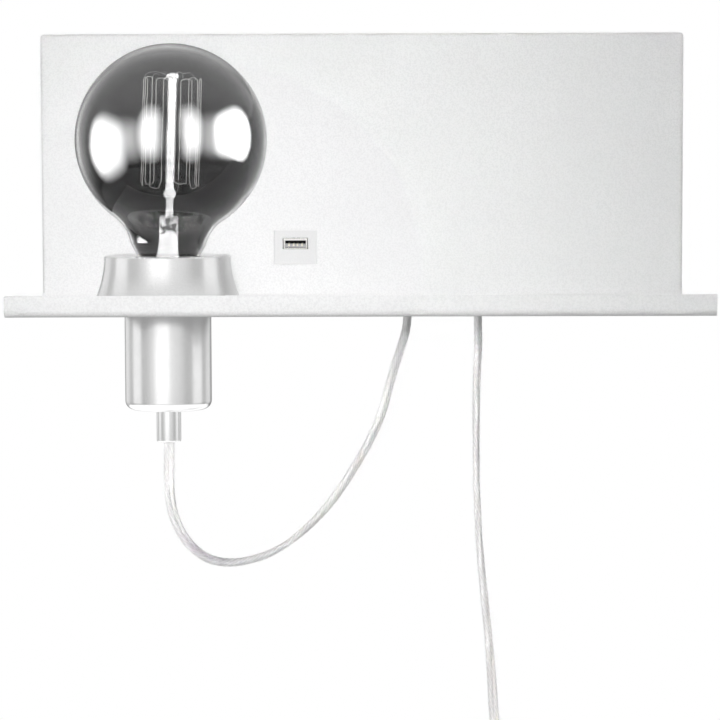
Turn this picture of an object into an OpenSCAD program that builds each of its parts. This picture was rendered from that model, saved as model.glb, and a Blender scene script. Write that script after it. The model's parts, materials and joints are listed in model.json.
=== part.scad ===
// Wall lamp with shelf: a bent steel panel and shelf, a lamp holder through the
// shelf with a globe bulb, a charging port in the panel, and a mains lead.
// Millimetres, +Z up. The wall is the plane y = 0 and the lamp's front faces -Y.
// The origin is midway between the two keyholes, on the wall.

/* [Shelf and panel] */
// Width of the panel and of the shelf
body_w = 340; // [280:1:420]
// Height of the panel above the shelf's top face
panel_h = 140; // [130:1:180]
// Depth of the shelf, from the panel's front to the lip's front
shelf_d = 150; // [140:1:200]
// Depth of the housing, from the panel's front to the wall
housing_d = 25; // [25:1:40]
// Height of the front lip above the shelf's top face
lip_h = 9.2; // [6:0.1:20]
// Thickness of the bent sheet
sheet_t = 1.2; // [1:0.1:1.5]
// Inside radius of the bend between panel and shelf
rear_bend_r = 3; // [2:0.5:5]
// Outside radius of the bend below the lip
lip_bend_r = 3.5; // [2.5:0.5:5]
// Outside radius of the housing's edges
edge_r = 2; // [1.8:0.1:4]
// Height of the keyholes above the shelf's top face
keyhole_h = 100; // [80:1:115]
// Distance between the two keyholes
keyhole_gap = 260; // [200:1:300]

/* [Rear cover] */
// Thickness of the rear cover
cover_t = 1; // [0.8:0.1:1.5]
// Radius of a keyhole's entry hole
keyhole_r = 4.5; // [4:0.1:5.5]
// Half the width of a keyhole's slot
keyhole_slot_r = 2.3; // [2:0.1:3]
// Length of a keyhole's slot, from the entry's centre
keyhole_slot = 9; // [8:0.5:12]
// Radius of the cover screws' shank
cover_screw_r = 1.6; // [1.2:0.1:2]

/* [Lamp holder] */
// Distance of the holder's axis from the middle, to the left
holder_left = 96; // [70:1:110]
// Distance of the holder's axis from the lip's front
holder_in = 55; // [50:1:60]
// Depth of the barrel's foot below the shelf's top face
barrel_drop = 50; // [45:1:70]
// Outside diameter of the barrel
barrel_d = 43; // [41:0.5:52]
// Wall of the barrel
barrel_wall = 1.5; // [1.2:0.1:2]
// Outside radius of the barrel's bottom corner
barrel_corner_r = 4.5; // [3:0.5:6]
// Height of the collar above the shelf
collar_h = 26.5; // [25:0.5:32]
// Outside diameter of the collar at its top
collar_top_d = 62.6; // [54:0.2:76]
// Outside diameter of the collar at its foot
collar_foot_d = 77; // [70:0.5:92]
// Wall of the collar
collar_wall = 1.5; // [1.2:0.1:2.5]
// Radius of the collar's top edge
collar_edge_r = 0.8; // [0.4:0.1:1]
// Outside diameter of the cord grip
grip_d = 12.2; // [11:0.1:16]
// Length of the cord grip below the barrel
grip_len = 16.5; // [12:0.5:22]

/* [Bulb] */
// Diameter of the globe
globe_d = 95; // [80:1:100]
// Height of the globe's centre above the shelf's top face
globe_h = 83.6; // [78:0.1:110]
// Lean of the glass on its cap, to the right
bulb_lean = 2; // [0:0.5:3]
// Diameter of the cap over its thread
cap_d = 26.1; // [25.5:0.1:26.3]
// Thickness of the glass
glass_t = 1.4; // [0.8:0.1:1.6]
// Pitch of the cap's thread
cap_pitch = 3.6; // [3:0.1:4]

/* [Charging port] */
// Distance of the port's plate from the middle, to the left
port_left = 35.4; // [30:0.1:40]
// Height of the plate's centre above the shelf's top face
port_h = 27.2; // [22:0.1:35]
// Width of the plate
plate_w = 23; // [21:0.1:30]
// Height of the plate
plate_h = 17.9; // [17:0.1:24]
// Height of the port's centre above the plate's centre
port_up = 2; // [1:0.1:2.4]

/* [Leads] */
// Width of the flat lead
cord_w = 5.2; // [4.4:0.1:6.2]
// Distance of the lamp lead's exit from the middle, to the right
lamp_exit = 24; // [15:1:30]
// Distance of the mains lead's exit from the middle, to the right
mains_exit = 62; // [56:1:75]
// Distance of both exits from the wall
exit_out = 12; // [11:0.5:14]
// Length of the in-line switch
switch_len = 52; // [50:1:62]
// Width of the in-line switch
switch_w = 22; // [20:0.5:26]
// Thickness of the in-line switch
switch_t = 16; // [15:0.5:20]
// Clearance between the coil's turns
turn_gap = 0.5; // [0.5:0.1:1.5]
// Clearance between the coil's layers
layer_gap = 0.6; // [0.6:0.1:1.5]
// Radius of the coil's outermost turn, along the lead's middle
coil_r = 35; // [35:0.5:42]
// Turns in each of the coil's four layers
coil_turns = 2; // [1:1:3]
// Diameter of a plug pin
pin_d = 4; // [3.6:0.1:4.8]
// Length of a plug pin
pin_len = 19; // [16:0.5:20]
// Distance between the plug's pins
pin_gap = 18.6; // [17:0.1:19]

/* [Hidden] */

$fn = 64;
gap = 0.3;      // between pieces that only pass each other
fit = 0.05;     // between a shaft and its hole
eps = 0.01;     // how far a cut runs past the face that it opens

white = "white";
brass = [0.8, 0.66, 0.36];
steel = [0.75, 0.76, 0.78];
dark = [0.16, 0.16, 0.17];

// Main planes
shelf_z = -keyhole_h;
under_z = shelf_z - sheet_t;
top_z = shelf_z + panel_h;
panel_y = -housing_d;
lip_y = panel_y - shelf_d;
wall_gap = 0.5;
inner_w = body_w - 2 * (sheet_t + gap);

// The lamp holder, from its axis
holder = [-holder_left, lip_y + holder_in, 0];
foot_z = shelf_z - barrel_drop;
grip_z = foot_z - grip_len;
barrel_r = barrel_d / 2;
neck_r = barrel_r - 2.3;
neck_bore_r = neck_r - 1.3;
insert_lip = 1.5;
neck_top_z = shelf_z + collar_h - collar_wall - insert_lip;
insert_r = neck_bore_r - gap;
mouth_r = insert_r - 0.8;
mouth_z = shelf_z + 18;
shell_t = 0.4;
thread_deep = 0.35;
cap_r = cap_d / 2;
shell_r = cap_r + 0.25;
shell_bore_r = shell_r + 2 * thread_deep + shell_t + 0.1;
tip_z = shelf_z - 7;
floor_z = shelf_z - 9;
floor_t = 4;
skirt_z = shelf_z - 22;
nipple_r = 4.9;
nut_t = 3;
cord_r = cord_w / 2;
core_r = 1.1;
cord_bore_r = cord_r + 0.15;

// The bulb, before its lean
glass_foot_z = shelf_z + 20;
glass_foot_r = cap_r - 0.45;
globe_r = globe_d / 2;
globe_z = shelf_z + globe_h;
neck_fillet_r = 20;
neck_side_r = 18.3;
cap_skirt_z = shelf_z + 17;

// The port
plate_y = panel_y - 0.8;
plate_at = [-port_left, 0, shelf_z + port_h];
port_z = shelf_z + port_h + port_up;
skirt_in = 1.4;
skirt_w = plate_w - 2 * skirt_in;
skirt_h = plate_h - 2 * skirt_in;
skirt_deep = 5;
shell_w = 13.1;
shell_h = 5.6;
shell_deep = 14;
metal_t = 0.35;
case_wall = 1.2;
case_y = panel_y + skirt_deep + 0.1;
case_deep = 14.5;

// The leads' exits, the switch, the coil and the plug
lamp_relief_foot = shelf_z - 7;
mains_relief_foot = shelf_z - 10;
exit_y = -exit_out;
lamp_at = [lamp_exit, exit_y, 0];
mains_at = [mains_exit, exit_y, 0];
tail_top_z = shelf_z + 30;
block_at = [(lamp_exit + mains_exit) / 2, -8, shelf_z + 48];
block_size = [18, 14, 22];
pole_gap = 10;
switch_top = [71, -12, -336];
switch_mid = switch_top - [0, 0, switch_len / 2];
shell_wall = 1.5;
coil_mid = [84, -5.4, -450];
coil_end = 6;
coil_turns_all = 4 * coil_turns;
coil_pitch = cord_w + turn_gap;
coil_layer = cord_w + layer_gap;
plug_z = -486;

// Routes of the free leads, down the lead's middle
LAMP_ROUTE = [[-96, -120, -166.5], [-96, -120, -174], [-96.2, -120, -184],
  [-95.8, -119.6, -194], [-94, -118, -204], [-90, -114.6, -214], [-84, -109.2, -222.5],
  [-76, -102, -228.6], [-66, -93, -231.3], [-55, -83.1, -230.8], [-44, -73.2, -227.6],
  [-34, -64.2, -221.8], [-24, -55.2, -213.6], [-15, -47.1, -204], [-7, -39.9, -193],
  [0, -33.6, -182], [6, -28.2, -171], [10.5, -24.2, -160.5], [14.3, -20.7, -147],
  [17.4, -18, -136.5], [20.6, -15.1, -127], [23, -12.9, -119], [24, -12, -112.4],
  [24, -12, -107]];
MAINS_ROUTE = [[62, -12, -110], [62, -12, -116], [62.2, -12, -126], [61.6, -12, -138],
  [61.2, -12, -150], [61, -12, -163], [61, -12, -176], [61.1, -12, -188],
  [61.2, -12, -200], [61.8, -12, -214], [62.4, -12, -228], [63.4, -12, -241],
  [64.6, -12, -254], [66, -12, -268], [67.4, -12, -282], [68.6, -12, -296],
  [69.6, -12, -310], [70.3, -12, -322], [71, -12, -330.5], [71, -12, -336]];
COIL_LEAD_ROUTE = [[71, -12, -388], [71, -12, -394], [69.6, -11.4, -403],
  [65.8, -9.8, -411], [60, -8.4, -417.2], [54.2, -7, -423.6], [50.4, -5.8, -431.6],
  [49, -5.4, -438], [49, -5.4, -444]];
PLUG_LEAD_ROUTE = [[49, -22.8, -456], [49, -22.8, -461], [48.6, -21.4, -467],
  [48.2, -19.2, -474], [48, -18, -480], [48, -18, -486]];

// ---- Helpers ----

function unit(v) = v / norm(v);
function directions(p) =
  [for (i = [0 : len(p) - 1]) unit(p[min(i + 1, len(p) - 1)] - p[max(i - 1, 0)])];
function square_to(v, d) = unit(v - (v * d) * d);
function carried(d, side, i = 0) =
  i >= len(d) ? [] : let (s = square_to(side, d[i])) concat([s], carried(d, s, i + 1));

// A round tube of flat faces that follows the points
module tube(points, r, sides) {
  d = directions(points);
  s = carried(d, abs(d[0][0]) < 0.9 ? [1, 0, 0] : [0, 1, 0]);
  n = len(points);
  rings = [for (i = [0 : n - 1], k = [0 : sides - 1])
    let (a = 360 * (k + 0.5) / sides)
    points[i] + r * (cos(a) * s[i] + sin(a) * cross(d[i], s[i]))];
  walls = [for (i = [0 : n - 2], k = [0 : sides - 1], half = [0, 1])
    let (a = i * sides + k, b = i * sides + (k + 1) % sides)
    half == 0 ? [a, a + sides, b] : [b, a + sides, b + sides]];
  first = [for (k = [1 : sides - 2]) [0, k, k + 1]];
  last = [for (k = [1 : sides - 2]) [(n - 1) * sides, (n - 1) * sides + k + 1,
    (n - 1) * sides + k]];
  polyhedron(rings, concat(walls, first, last), convexity = 8);
}

// A quarter of sheet bent round X, from an angle where 0 is +Y and 90 is +Z
module bend_x(inner_r, length, from) {
  rotate([from, 0, 0]) rotate([90, 0, 90]) translate([0, 0, -length / 2])
    rotate_extrude(angle = 90) translate([inner_r, 0]) square([sheet_t, length]);
}

// The same round Z, upwards from the origin, from an angle where 0 is +X
module bend_z(inner_r, length, from) {
  rotate([0, 0, from]) rotate_extrude(angle = 90)
    translate([inner_r, 0]) square([sheet_t, length]);
}

// A box centred on x and z, from one y to another
module slab(w, y0, y1, h) {
  translate([-w / 2, min(y0, y1), -h / 2]) cube([w, abs(y1 - y0), h]);
}

function arc(cx, cy, r, a0, a1, steps) =
  [for (i = [0 : steps]) let (a = a0 + (a1 - a0) * i / steps)
    [cx + r * cos(a), cy + r * sin(a)]];

// ---- Sheet metal ----

module housing_corner(side) {
  x = side * (body_w / 2 - edge_r);
  translate([x, panel_y + edge_r, shelf_z + rear_bend_r])
    bend_z(edge_r - sheet_t, panel_h - rear_bend_r - edge_r, side < 0 ? 180 : 270);
  translate([x, panel_y + edge_r, top_z - edge_r]) rotate([-90, 0, 0])
    bend_z(edge_r - sheet_t, housing_d - edge_r - wall_gap, side < 0 ? 180 : 270);
  translate([x, panel_y + edge_r, top_z - edge_r]) intersection() {
    difference() {
      sphere(r = edge_r);
      sphere(r = edge_r - sheet_t);
    }
    translate([side < 0 ? -edge_r : 0, -edge_r, 0]) cube(edge_r);
  }
}

tab_in = 14;
tab_y0 = panel_y + 3;
tab_y1 = -4;
tab_screw_x = body_w / 2 - sheet_t - 8;
tab_z = under_z + cover_t;

module side_flange(side) {
  x = side < 0 ? -body_w / 2 : body_w / 2 - sheet_t;
  translate([x, panel_y + edge_r, under_z])
    cube([sheet_t, housing_d - edge_r - wall_gap, panel_h + sheet_t - edge_r]);
  difference() {
    translate([side < 0 ? -body_w / 2 : body_w / 2 - sheet_t - tab_in, tab_y0, tab_z])
      cube([sheet_t + tab_in, tab_y1 - tab_y0, sheet_t]);
    translate([side * tab_screw_x, exit_y, tab_z - 1])
      cylinder(r = cover_screw_r + fit, h = sheet_t + 2);
  }
}

module shelf_panel() {
  color(white) difference() {
    union() {
      translate([-body_w / 2 + edge_r, panel_y, shelf_z + rear_bend_r])
        cube([body_w - 2 * edge_r, sheet_t, panel_h - rear_bend_r - edge_r]);
      translate([0, panel_y + edge_r, top_z - edge_r])
        bend_x(edge_r - sheet_t, body_w - 2 * edge_r, 90);
      translate([-body_w / 2 + edge_r, panel_y + edge_r, top_z - sheet_t])
        cube([body_w - 2 * edge_r, housing_d - edge_r - wall_gap, sheet_t]);
      for (side = [-1, 1]) {
        housing_corner(side);
        side_flange(side);
      }
      translate([0, panel_y - rear_bend_r, shelf_z + rear_bend_r])
        bend_x(rear_bend_r, body_w, -90);
      translate([-body_w / 2, lip_y + lip_bend_r, under_z])
        cube([body_w, shelf_d - lip_bend_r - rear_bend_r, sheet_t]);
      translate([0, lip_y + lip_bend_r, under_z + lip_bend_r])
        bend_x(lip_bend_r - sheet_t, body_w, 180);
      translate([-body_w / 2, lip_y, under_z + lip_bend_r])
        cube([body_w, sheet_t, lip_h + sheet_t - lip_bend_r]);
    }
    translate(holder + [0, 0, under_z - 1]) cylinder(r = neck_r + gap, h = sheet_t + 2);
    translate(plate_at)
      slab(skirt_w + gap, panel_y - 1, panel_y + sheet_t + 1, skirt_h + gap);
  }
}

module keyhole() {
  rotate([90, 0, 0]) translate([0, 0, -1]) {
    cylinder(r = keyhole_r, h = cover_t + 2);
    translate([0, keyhole_slot, 0]) cylinder(r = keyhole_slot_r, h = cover_t + 2);
    translate([-keyhole_slot_r, 0, 0])
      cube([2 * keyhole_slot_r, keyhole_slot, cover_t + 2]);
  }
}

relief_hole_r = cord_r + 1.8;
fixing_r = 1.45;

// Fixings into the cover, in X and Z: supply, terminal block and cord clamps
function fixings() = concat(
  [for (side = [-1, 1]) [supply_at[0] + side * supply_ear_x, supply_at[2]]],
  [[block_at[0], block_at[2]]],
  [for (at = [lamp_at, mains_at], side = [-1, 1]) [at[0] + side * clamp_screw_x, clamp_z]]);

module rear_cover() {
  cover_top = top_z - sheet_t - gap;
  bend_reach = rear_bend_r + sheet_t + gap;
  bend_drop = rear_bend_r + sheet_t - cover_t;
  flange_y = panel_y - rear_bend_r + sqrt(bend_reach * bend_reach - bend_drop * bend_drop);
  color(steel) difference() {
    union() {
      translate([-inner_w / 2, -cover_t, under_z])
        cube([inner_w, cover_t, cover_top - under_z]);
      translate([-inner_w / 2, flange_y, under_z]) cube([inner_w, -flange_y, cover_t]);
      translate([-inner_w / 2, -12, cover_top - cover_t]) cube([inner_w, 12, cover_t]);
    }
    for (x = [-keyhole_gap / 2, keyhole_gap / 2]) translate([x, 0, 0]) keyhole();
    for (at = [lamp_at, mains_at]) translate(at + [0, 0, under_z - 1])
      cylinder(r = relief_hole_r, h = cover_t + 2);
    for (x = [-tab_screw_x, tab_screw_x]) translate([x, exit_y, under_z - 1])
      cylinder(r = cover_screw_r + 0.6, h = cover_t + 2);
    for (at = fixings()) translate([at[0], -cover_t - 1, at[1]]) rotate([-90, 0, 0])
      cylinder(r = fixing_r + fit, h = cover_t + 2);
  }
}

module cross_slot(w, deep) {
  for (a = [0, 90]) rotate([0, 0, a])
    translate([-w / 2, -0.4, -eps]) cube([w, 0.8, deep + eps]);
}

module cover_screws() {
  head_r = cover_screw_r * 2.1;
  head_h = 2.2;
  color(steel) for (x = [-tab_screw_x, tab_screw_x])
    translate([x, exit_y, under_z - head_h]) difference() {
      union() {
        cylinder(r1 = head_r - 0.5, r2 = head_r, h = 0.5);
        translate([0, 0, 0.5]) cylinder(r = head_r, h = head_h - 0.5);
        cylinder(r = cover_screw_r, h = head_h + cover_t + sheet_t + 1.5);
      }
      cross_slot(head_r, 1.1);
    }
}

// ---- Lamp holder ----

collar_top_r = collar_top_d / 2;
collar_foot_r = collar_foot_d / 2;
function collar_r(h) =
  collar_top_r + (collar_foot_r - collar_top_r) * pow(1 - h / collar_h, 2);

module collar() {
  steps = 10;
  hole_r = mouth_r + 0.7;
  edge_h = collar_h - collar_edge_r;
  nut_r = neck_r + fit * 2;
  nut_wall = 2;
  nut_foot = 8;
  inner_top = collar_h - collar_wall;
  outside = concat([for (i = [0 : steps]) let (h = edge_h * i / steps) [collar_r(h), h]],
    arc(collar_r(edge_h) - collar_edge_r, edge_h, collar_edge_r, 15, 90, 5));
  inside = [for (i = [steps : -1 : 0]) let (h = inner_top * i / steps)
    [collar_r(h) - collar_wall, h]];
  color(steel) translate(holder + [0, 0, shelf_z]) rotate_extrude() polygon(concat(outside,
    [[hole_r, collar_h], [hole_r, inner_top], [nut_r, inner_top], [nut_r, nut_foot],
     [nut_r + nut_wall, nut_foot], [nut_r + nut_wall, inner_top]], inside));
}

module barrel() {
  inner_r = barrel_r - barrel_wall;
  floor_top = foot_z + barrel_wall;
  roof_z = under_z - barrel_wall;
  bore_r = nipple_r + 0.2;
  corner = arc(barrel_r - barrel_corner_r, foot_z + barrel_corner_r, barrel_corner_r,
    -90, 0, 8);
  inner_corner = arc(inner_r - barrel_corner_r + barrel_wall,
    foot_z + barrel_corner_r, barrel_corner_r - barrel_wall, 0, -90, 6);
  color(steel) translate(holder) rotate_extrude() polygon(concat(
    [[bore_r, foot_z]], corner,
    [[barrel_r, under_z], [neck_r, under_z], [neck_r, neck_top_z],
     [neck_bore_r, neck_top_z], [neck_bore_r, roof_z], [inner_r, roof_z]],
    inner_corner, [[bore_r, floor_top]]));
}

module socket_insert() {
  flange_top = neck_top_z + insert_lip;
  skirt_bore_r = insert_r - 2;
  color("ivory") translate(holder) rotate_extrude() polygon([
    [2.5, floor_z], [shell_bore_r, floor_z], [shell_bore_r, mouth_z],
    [mouth_r, mouth_z], [mouth_r, flange_top], [neck_r, flange_top],
    [neck_r, neck_top_z], [insert_r, neck_top_z], [insert_r, skirt_z],
    [skirt_bore_r, skirt_z], [skirt_bore_r, floor_z - floor_t], [2.5, floor_z - floor_t]]);
}

// The radius of a rolled thread at a height, from its crest outwards
function thread_r(crest, z) = crest - thread_deep * (1 - cos(360 * z / cap_pitch));

module contact_shell() {
  steps = 48;
  z0 = floor_z;
  z1 = mouth_z - 1;
  crest = shell_r + 2 * thread_deep;
  inside = [for (i = [0 : steps]) let (z = z0 + (z1 - z0) * i / steps)
    [thread_r(crest, z - tip_z), z]];
  outside = [for (i = [steps : -1 : 0]) let (z = z0 + (z1 - z0) * i / steps)
    [thread_r(crest, z - tip_z) + shell_t, z]];
  color(brass) translate(holder) rotate_extrude() polygon(concat(inside, outside));
}

module centre_contact() {
  rise = tip_z - floor_z - 0.2;
  leaf_t = 0.5;
  color(brass) translate(holder + [0, 0, floor_z]) {
    translate([0, 0, -floor_t - 1]) cylinder(r = 2.4, h = floor_t + 1 + leaf_t);
    translate([-7, -2.5, 0]) cube([12, 5, leaf_t]);
    translate([-7, -2.5, 0]) cube([leaf_t, 5, rise]);
    translate([-7, -2.5, rise - leaf_t]) cube([10, 5, leaf_t]);
  }
}

terminal_x = 9;
terminal_size = [6, 6, 7];

module holder_terminals() {
  top = floor_z - floor_t;
  for (side = [-1, 1]) color(brass) translate(holder + [side * terminal_x, 0, top])
    difference() {
      translate([-terminal_size[0] / 2, -terminal_size[1] / 2, -terminal_size[2]])
        cube(terminal_size);
      translate([0, 0, -terminal_size[2] - 1]) cylinder(r = core_r + 0.15, h = 6);
    }
  for (side = [-1, 1])
    color(steel) translate(holder + [side * terminal_x, -terminal_size[1] / 2, top - 5])
      rotate([90, 0, 0]) difference() {
        cylinder(r = 1.6, h = 1.4);
        translate([-2, -0.3, 0.8]) cube([4, 0.6, 1]);
      }
}

module holder_leads() {
  split_z = foot_z + 11;
  top = floor_z - floor_t - terminal_size[2] + 4;
  color(white) translate(holder + [0, 0, grip_z])
    cylinder(r = cord_r, h = split_z - grip_z);
  color(white) for (side = [-1, 1]) tube([
    holder + [side * 1.3, 0, split_z],
    holder + [side * 1.5, 0, split_z + 3],
    holder + [side * 4, 0, split_z + 8],
    holder + [side * 7.5, 0, split_z + 13],
    holder + [side * terminal_x, 0, top - 6],
    holder + [side * terminal_x, 0, top]], core_r, 8);
}

module grip_nut() {
  color(steel) translate(holder + [0, 0, foot_z + barrel_wall]) difference() {
    cylinder(r = 8, h = nut_t, $fn = 6);
    translate([0, 0, -1]) cylinder(r = nipple_r + fit, h = nut_t + 2);
  }
}

grip_screw_z = grip_z + grip_len / 2;

module cord_grip() {
  round_r = 1.4;
  nipple_top = foot_z + barrel_wall + nut_t + 1.5;
  grip_r = grip_d / 2;
  color(steel) translate(holder) difference() {
    rotate_extrude() polygon(concat([[cord_bore_r, grip_z]],
      arc(grip_r - round_r, grip_z + round_r, round_r, -90, 0, 5),
      [[grip_r, foot_z], [nipple_r, foot_z], [nipple_r, nipple_top],
       [cord_bore_r, nipple_top]]));
    translate([0, 0, grip_screw_z]) rotate([-90, 0, 0])
      cylinder(r = 1.5, h = grip_r + 1);
  }
}

module grip_screw() {
  grip_r = grip_d / 2;
  color(white) translate(holder + [0, 0, grip_screw_z]) rotate([-90, 0, 0])
    difference() {
      translate([0, 0, cord_bore_r + 0.1]) cylinder(r = 1.45, h = grip_r - cord_bore_r);
      translate([-2, -0.3, grip_r - 0.5]) cube([4, 0.6, 2]);
    }
}

// ---- Bulb ----

module leaning() {
  at = holder + [0, 0, glass_foot_z];
  translate(at) rotate([0, bulb_lean, 0]) translate(-at) children();
}

// Half the outline of the glass, from its foot to its crown, offset inwards by t
fillet_reach = globe_r + neck_fillet_r;
fillet_cx = neck_side_r + neck_fillet_r;
fillet_cz = globe_z - sqrt(fillet_reach * fillet_reach - fillet_cx * fillet_cx);
fillet_end = atan2(globe_z - fillet_cz, -fillet_cx);
neck_round_z = shelf_z + 32;
fillet_start = 180 - asin((neck_round_z - fillet_cz) / neck_fillet_r);
function glass_outline(t) = concat(
  [[glass_foot_r - t, glass_foot_z - 1.5], [glass_foot_r - t, glass_foot_z + 1]],
  arc(fillet_cx, fillet_cz, neck_fillet_r + t, fillet_start, fillet_end, 10),
  arc(0, globe_z, globe_r - t, fillet_end - 180, 90, 28));

module bulb_glass() {
  outer = glass_outline(0);
  inner = glass_outline(glass_t);
  color([0.35, 0.36, 0.38, 0.35]) leaning() translate(holder) rotate_extrude($fn = 96)
    polygon(concat(outer, [for (i = [len(inner) - 1 : -1 : 0]) inner[i]]));
}

module bulb_cap() {
  steps = 36;
  z0 = tip_z + 5;
  z1 = cap_skirt_z;
  skirt_r = cap_r + 0.35;
  outside = [for (i = [0 : steps]) let (z = z0 + (z1 - z0) * i / steps)
    [thread_r(cap_r, z - tip_z), z]];
  inside = [for (i = [steps : -1 : 0]) let (z = z0 + (z1 - z0) * i / steps)
    [thread_r(cap_r, z - tip_z) - shell_t, z]];
  color(steel) translate(holder) rotate_extrude() polygon(concat(outside,
    [[skirt_r, z1 + 0.6], [skirt_r, glass_foot_z + 0.6],
     [skirt_r - shell_t, glass_foot_z + 0.6], [skirt_r - shell_t, z1 + 1]], inside));
}

module bulb_insulator() {
  top = tip_z + 5;
  color(dark) translate(holder) rotate_extrude() polygon([
    [0, tip_z + 1.2], [4.4, tip_z + 1.2], [10.4, top - 1], [cap_r - 1.4, top],
    [cap_r - 1.4, top + 1.5], [0, top + 1.5]]);
}

module bulb_tip() {
  color(steel) translate(holder + [0, 0, tip_z]) rotate_extrude() polygon([
    [0, 0], [2.6, 0], [4, 0.5], [4.6, 1.2], [0, 1.2]]);
}

press_z = shelf_z + 37;
press_top_z = shelf_z + 46;
cage_r = 14.3;
cage_low_z = shelf_z + 61;
cage_high_z = shelf_z + 114;
button_z = shelf_z + 115.5;
hairpins = 7;

module bulb_stem() {
  flare_z = glass_foot_z + 1.5;
  flare_r = glass_foot_r - glass_t - 0.3;
  color([0.85, 0.87, 0.9, 0.35]) leaning() translate(holder) {
    rotate_extrude() polygon([[0, flare_z + 1], [flare_r - 2, flare_z],
      [flare_r, flare_z], [flare_r - 3, flare_z + 3.5], [5.4, press_z - 6],
      [4.6, press_z + 0.5], [0, press_z + 0.5]]);
    translate([-4.7, -2.6, press_z]) cube([9.4, 5.2, press_top_z - press_z]);
    rotate_extrude() polygon([[0, press_top_z - 0.5], [2.4, press_top_z - 0.5],
      [1.8, press_top_z + 4], [2, press_top_z + 8], [3.9, press_top_z + 11.5],
      [2, press_top_z + 15], [1.9, button_z - 3.5], [3, button_z - 1.6],
      [3, button_z + 0.4], [1.4, button_z + 1.8], [0, button_z + 1.8]]);
  }
}

// Places of the filament's bends, up and down round the cage
function cage_point(k, z) = let (a = 360 * (k + 0.5) / (2 * hairpins) + 90)
  holder + [cage_r * cos(a), cage_r * sin(a), z];
FILAMENT = [for (k = [0 : 2 * hairpins - 1], end = [0, 1])
  cage_point(k, (k + end) % 2 == 0 ? cage_low_z : cage_high_z)];

module bulb_filament() {
  color("orange") leaning() tube(FILAMENT, 0.3, 6);
}

module bulb_supports() {
  wire_r = 0.25;
  low_hub_z = press_top_z + 11.5;
  color(steel) leaning() {
    for (k = [0 : hairpins - 2]) let (a = 360 * (k + 1) * 2 / (2 * hairpins) + 90)
      tube([holder + [3.2 * cos(a), 3.2 * sin(a), button_z],
        holder + [0.6 * cage_r * cos(a), 0.6 * cage_r * sin(a), button_z + 1],
        holder + [(cage_r - 0.8) * cos(a), (cage_r - 0.8) * sin(a), cage_high_z + 0.8]],
        wire_r, 6);
    for (k = [0, 2 * hairpins - 1]) let (a = 360 * (k + 0.5) / (2 * hairpins) + 90)
      tube([holder + [3 * cos(a), 3.2 * sin(a), press_top_z + 0.2],
        holder + [0.45 * cage_r * cos(a), 0.45 * cage_r * sin(a), low_hub_z],
        holder + [cage_r * cos(a), cage_r * sin(a), cage_low_z - 0.8]], wire_r, 6);
  }
}

// ---- Charging port ----

port_hole_w = shell_w + 0.4;
port_hole_h = shell_h + 0.4;

module port_plate() {
  color(white) difference() {
    union() {
      translate(plate_at) slab(plate_w, plate_y, panel_y, plate_h);
      translate(plate_at) slab(skirt_w, plate_y, panel_y + skirt_deep, skirt_h);
    }
    translate(plate_at) slab(skirt_w - 2 * case_wall, panel_y + 1,
      panel_y + skirt_deep + 1, skirt_h - 2 * case_wall);
    translate([plate_at[0], 0, port_z])
      slab(port_hole_w, plate_y - 1, panel_y + 2, port_hole_h);
  }
}

shell_y0 = plate_y + 0.1;
shell_y1 = shell_y0 + shell_deep;

module port_shell() {
  color(steel) translate([plate_at[0], 0, port_z]) difference() {
    slab(shell_w, shell_y0, shell_y1, shell_h);
    slab(shell_w - 2 * metal_t, shell_y0 - 1, shell_y1 - metal_t,
      shell_h - 2 * metal_t);
  }
}

tongue_t = 1.8;
tongue_z = port_z - 1.1;

module port_tongue() {
  back = shell_y1 - metal_t - 0.1;
  color(white) {
    translate([plate_at[0], 0, tongue_z]) slab(11, shell_y0 + 0.8, back, tongue_t);
    translate([plate_at[0], 0, port_z])
      slab(shell_w - 2 * metal_t - 0.2, back - 3, back, shell_h - 2 * metal_t - 0.2);
  }
}

module port_contacts() {
  z = tongue_z + tongue_t / 2;
  color(brass) for (x = [-3.5, -1, 1, 3.5])
    translate([plate_at[0] + x, 0, z + 0.1]) slab(1, shell_y0 + 1.4, shell_y1 - 3.6, 0.2);
}

board_t = 1.2;
board_top = port_z - shell_h / 2 - 0.1;
lead_y = shell_y1 + 1.3;

module port_board() {
  color("darkgreen") translate([plate_at[0], 0, board_top - board_t / 2])
    slab(skirt_w - 2 * case_wall - 1, panel_y + 1.4, case_y + case_deep - case_wall - 0.4,
      board_t);
  color(dark) translate([plate_at[0] + 4, 0, board_top - board_t - 1])
    slab(5, panel_y + 6, panel_y + 11, 2);
  color(dark) translate([plate_at[0] - 4, 0, board_top - board_t - 0.8])
    slab(4, panel_y + 8, panel_y + 12, 1.6);
}

module port_case() {
  color(white) translate(plate_at) difference() {
    slab(skirt_w, case_y, case_y + case_deep, skirt_h);
    slab(skirt_w - 2 * case_wall, case_y - 1, case_y + case_deep - case_wall,
      skirt_h - 2 * case_wall);
    translate([0, 0, skirt_h / 2]) slab(5, lead_y - 1.4, lead_y + 1.4, 6);
  }
}

module port_clips() {
  y = panel_y + sheet_t + 0.1;
  color(steel) for (side = [-1, 1])
    translate(plate_at + [side * (skirt_w / 2 + 1.3), 0, 0])
      slab(2.4, y, y + 2.6, 7);
}

supply_size = [46, 17, 30];
supply_at = [-18, -cover_t - supply_size[1] / 2, shelf_z + 70];
supply_ear_x = supply_size[0] / 2 + 3.4;
ear_t = 2;

module power_supply() {
  s = supply_size;
  color(white) translate(supply_at) difference() {
    union() {
      slab(s[0], -s[1] / 2, s[1] / 2, s[2]);
      slab(s[0] + 13, s[1] / 2 - ear_t, s[1] / 2, 12);
    }
    for (side = [-1, 1]) translate([side * supply_ear_x, s[1] / 2 - 3, 0])
      rotate([-90, 0, 0]) cylinder(r = fixing_r + fit, h = 4);
  }
}

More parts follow.
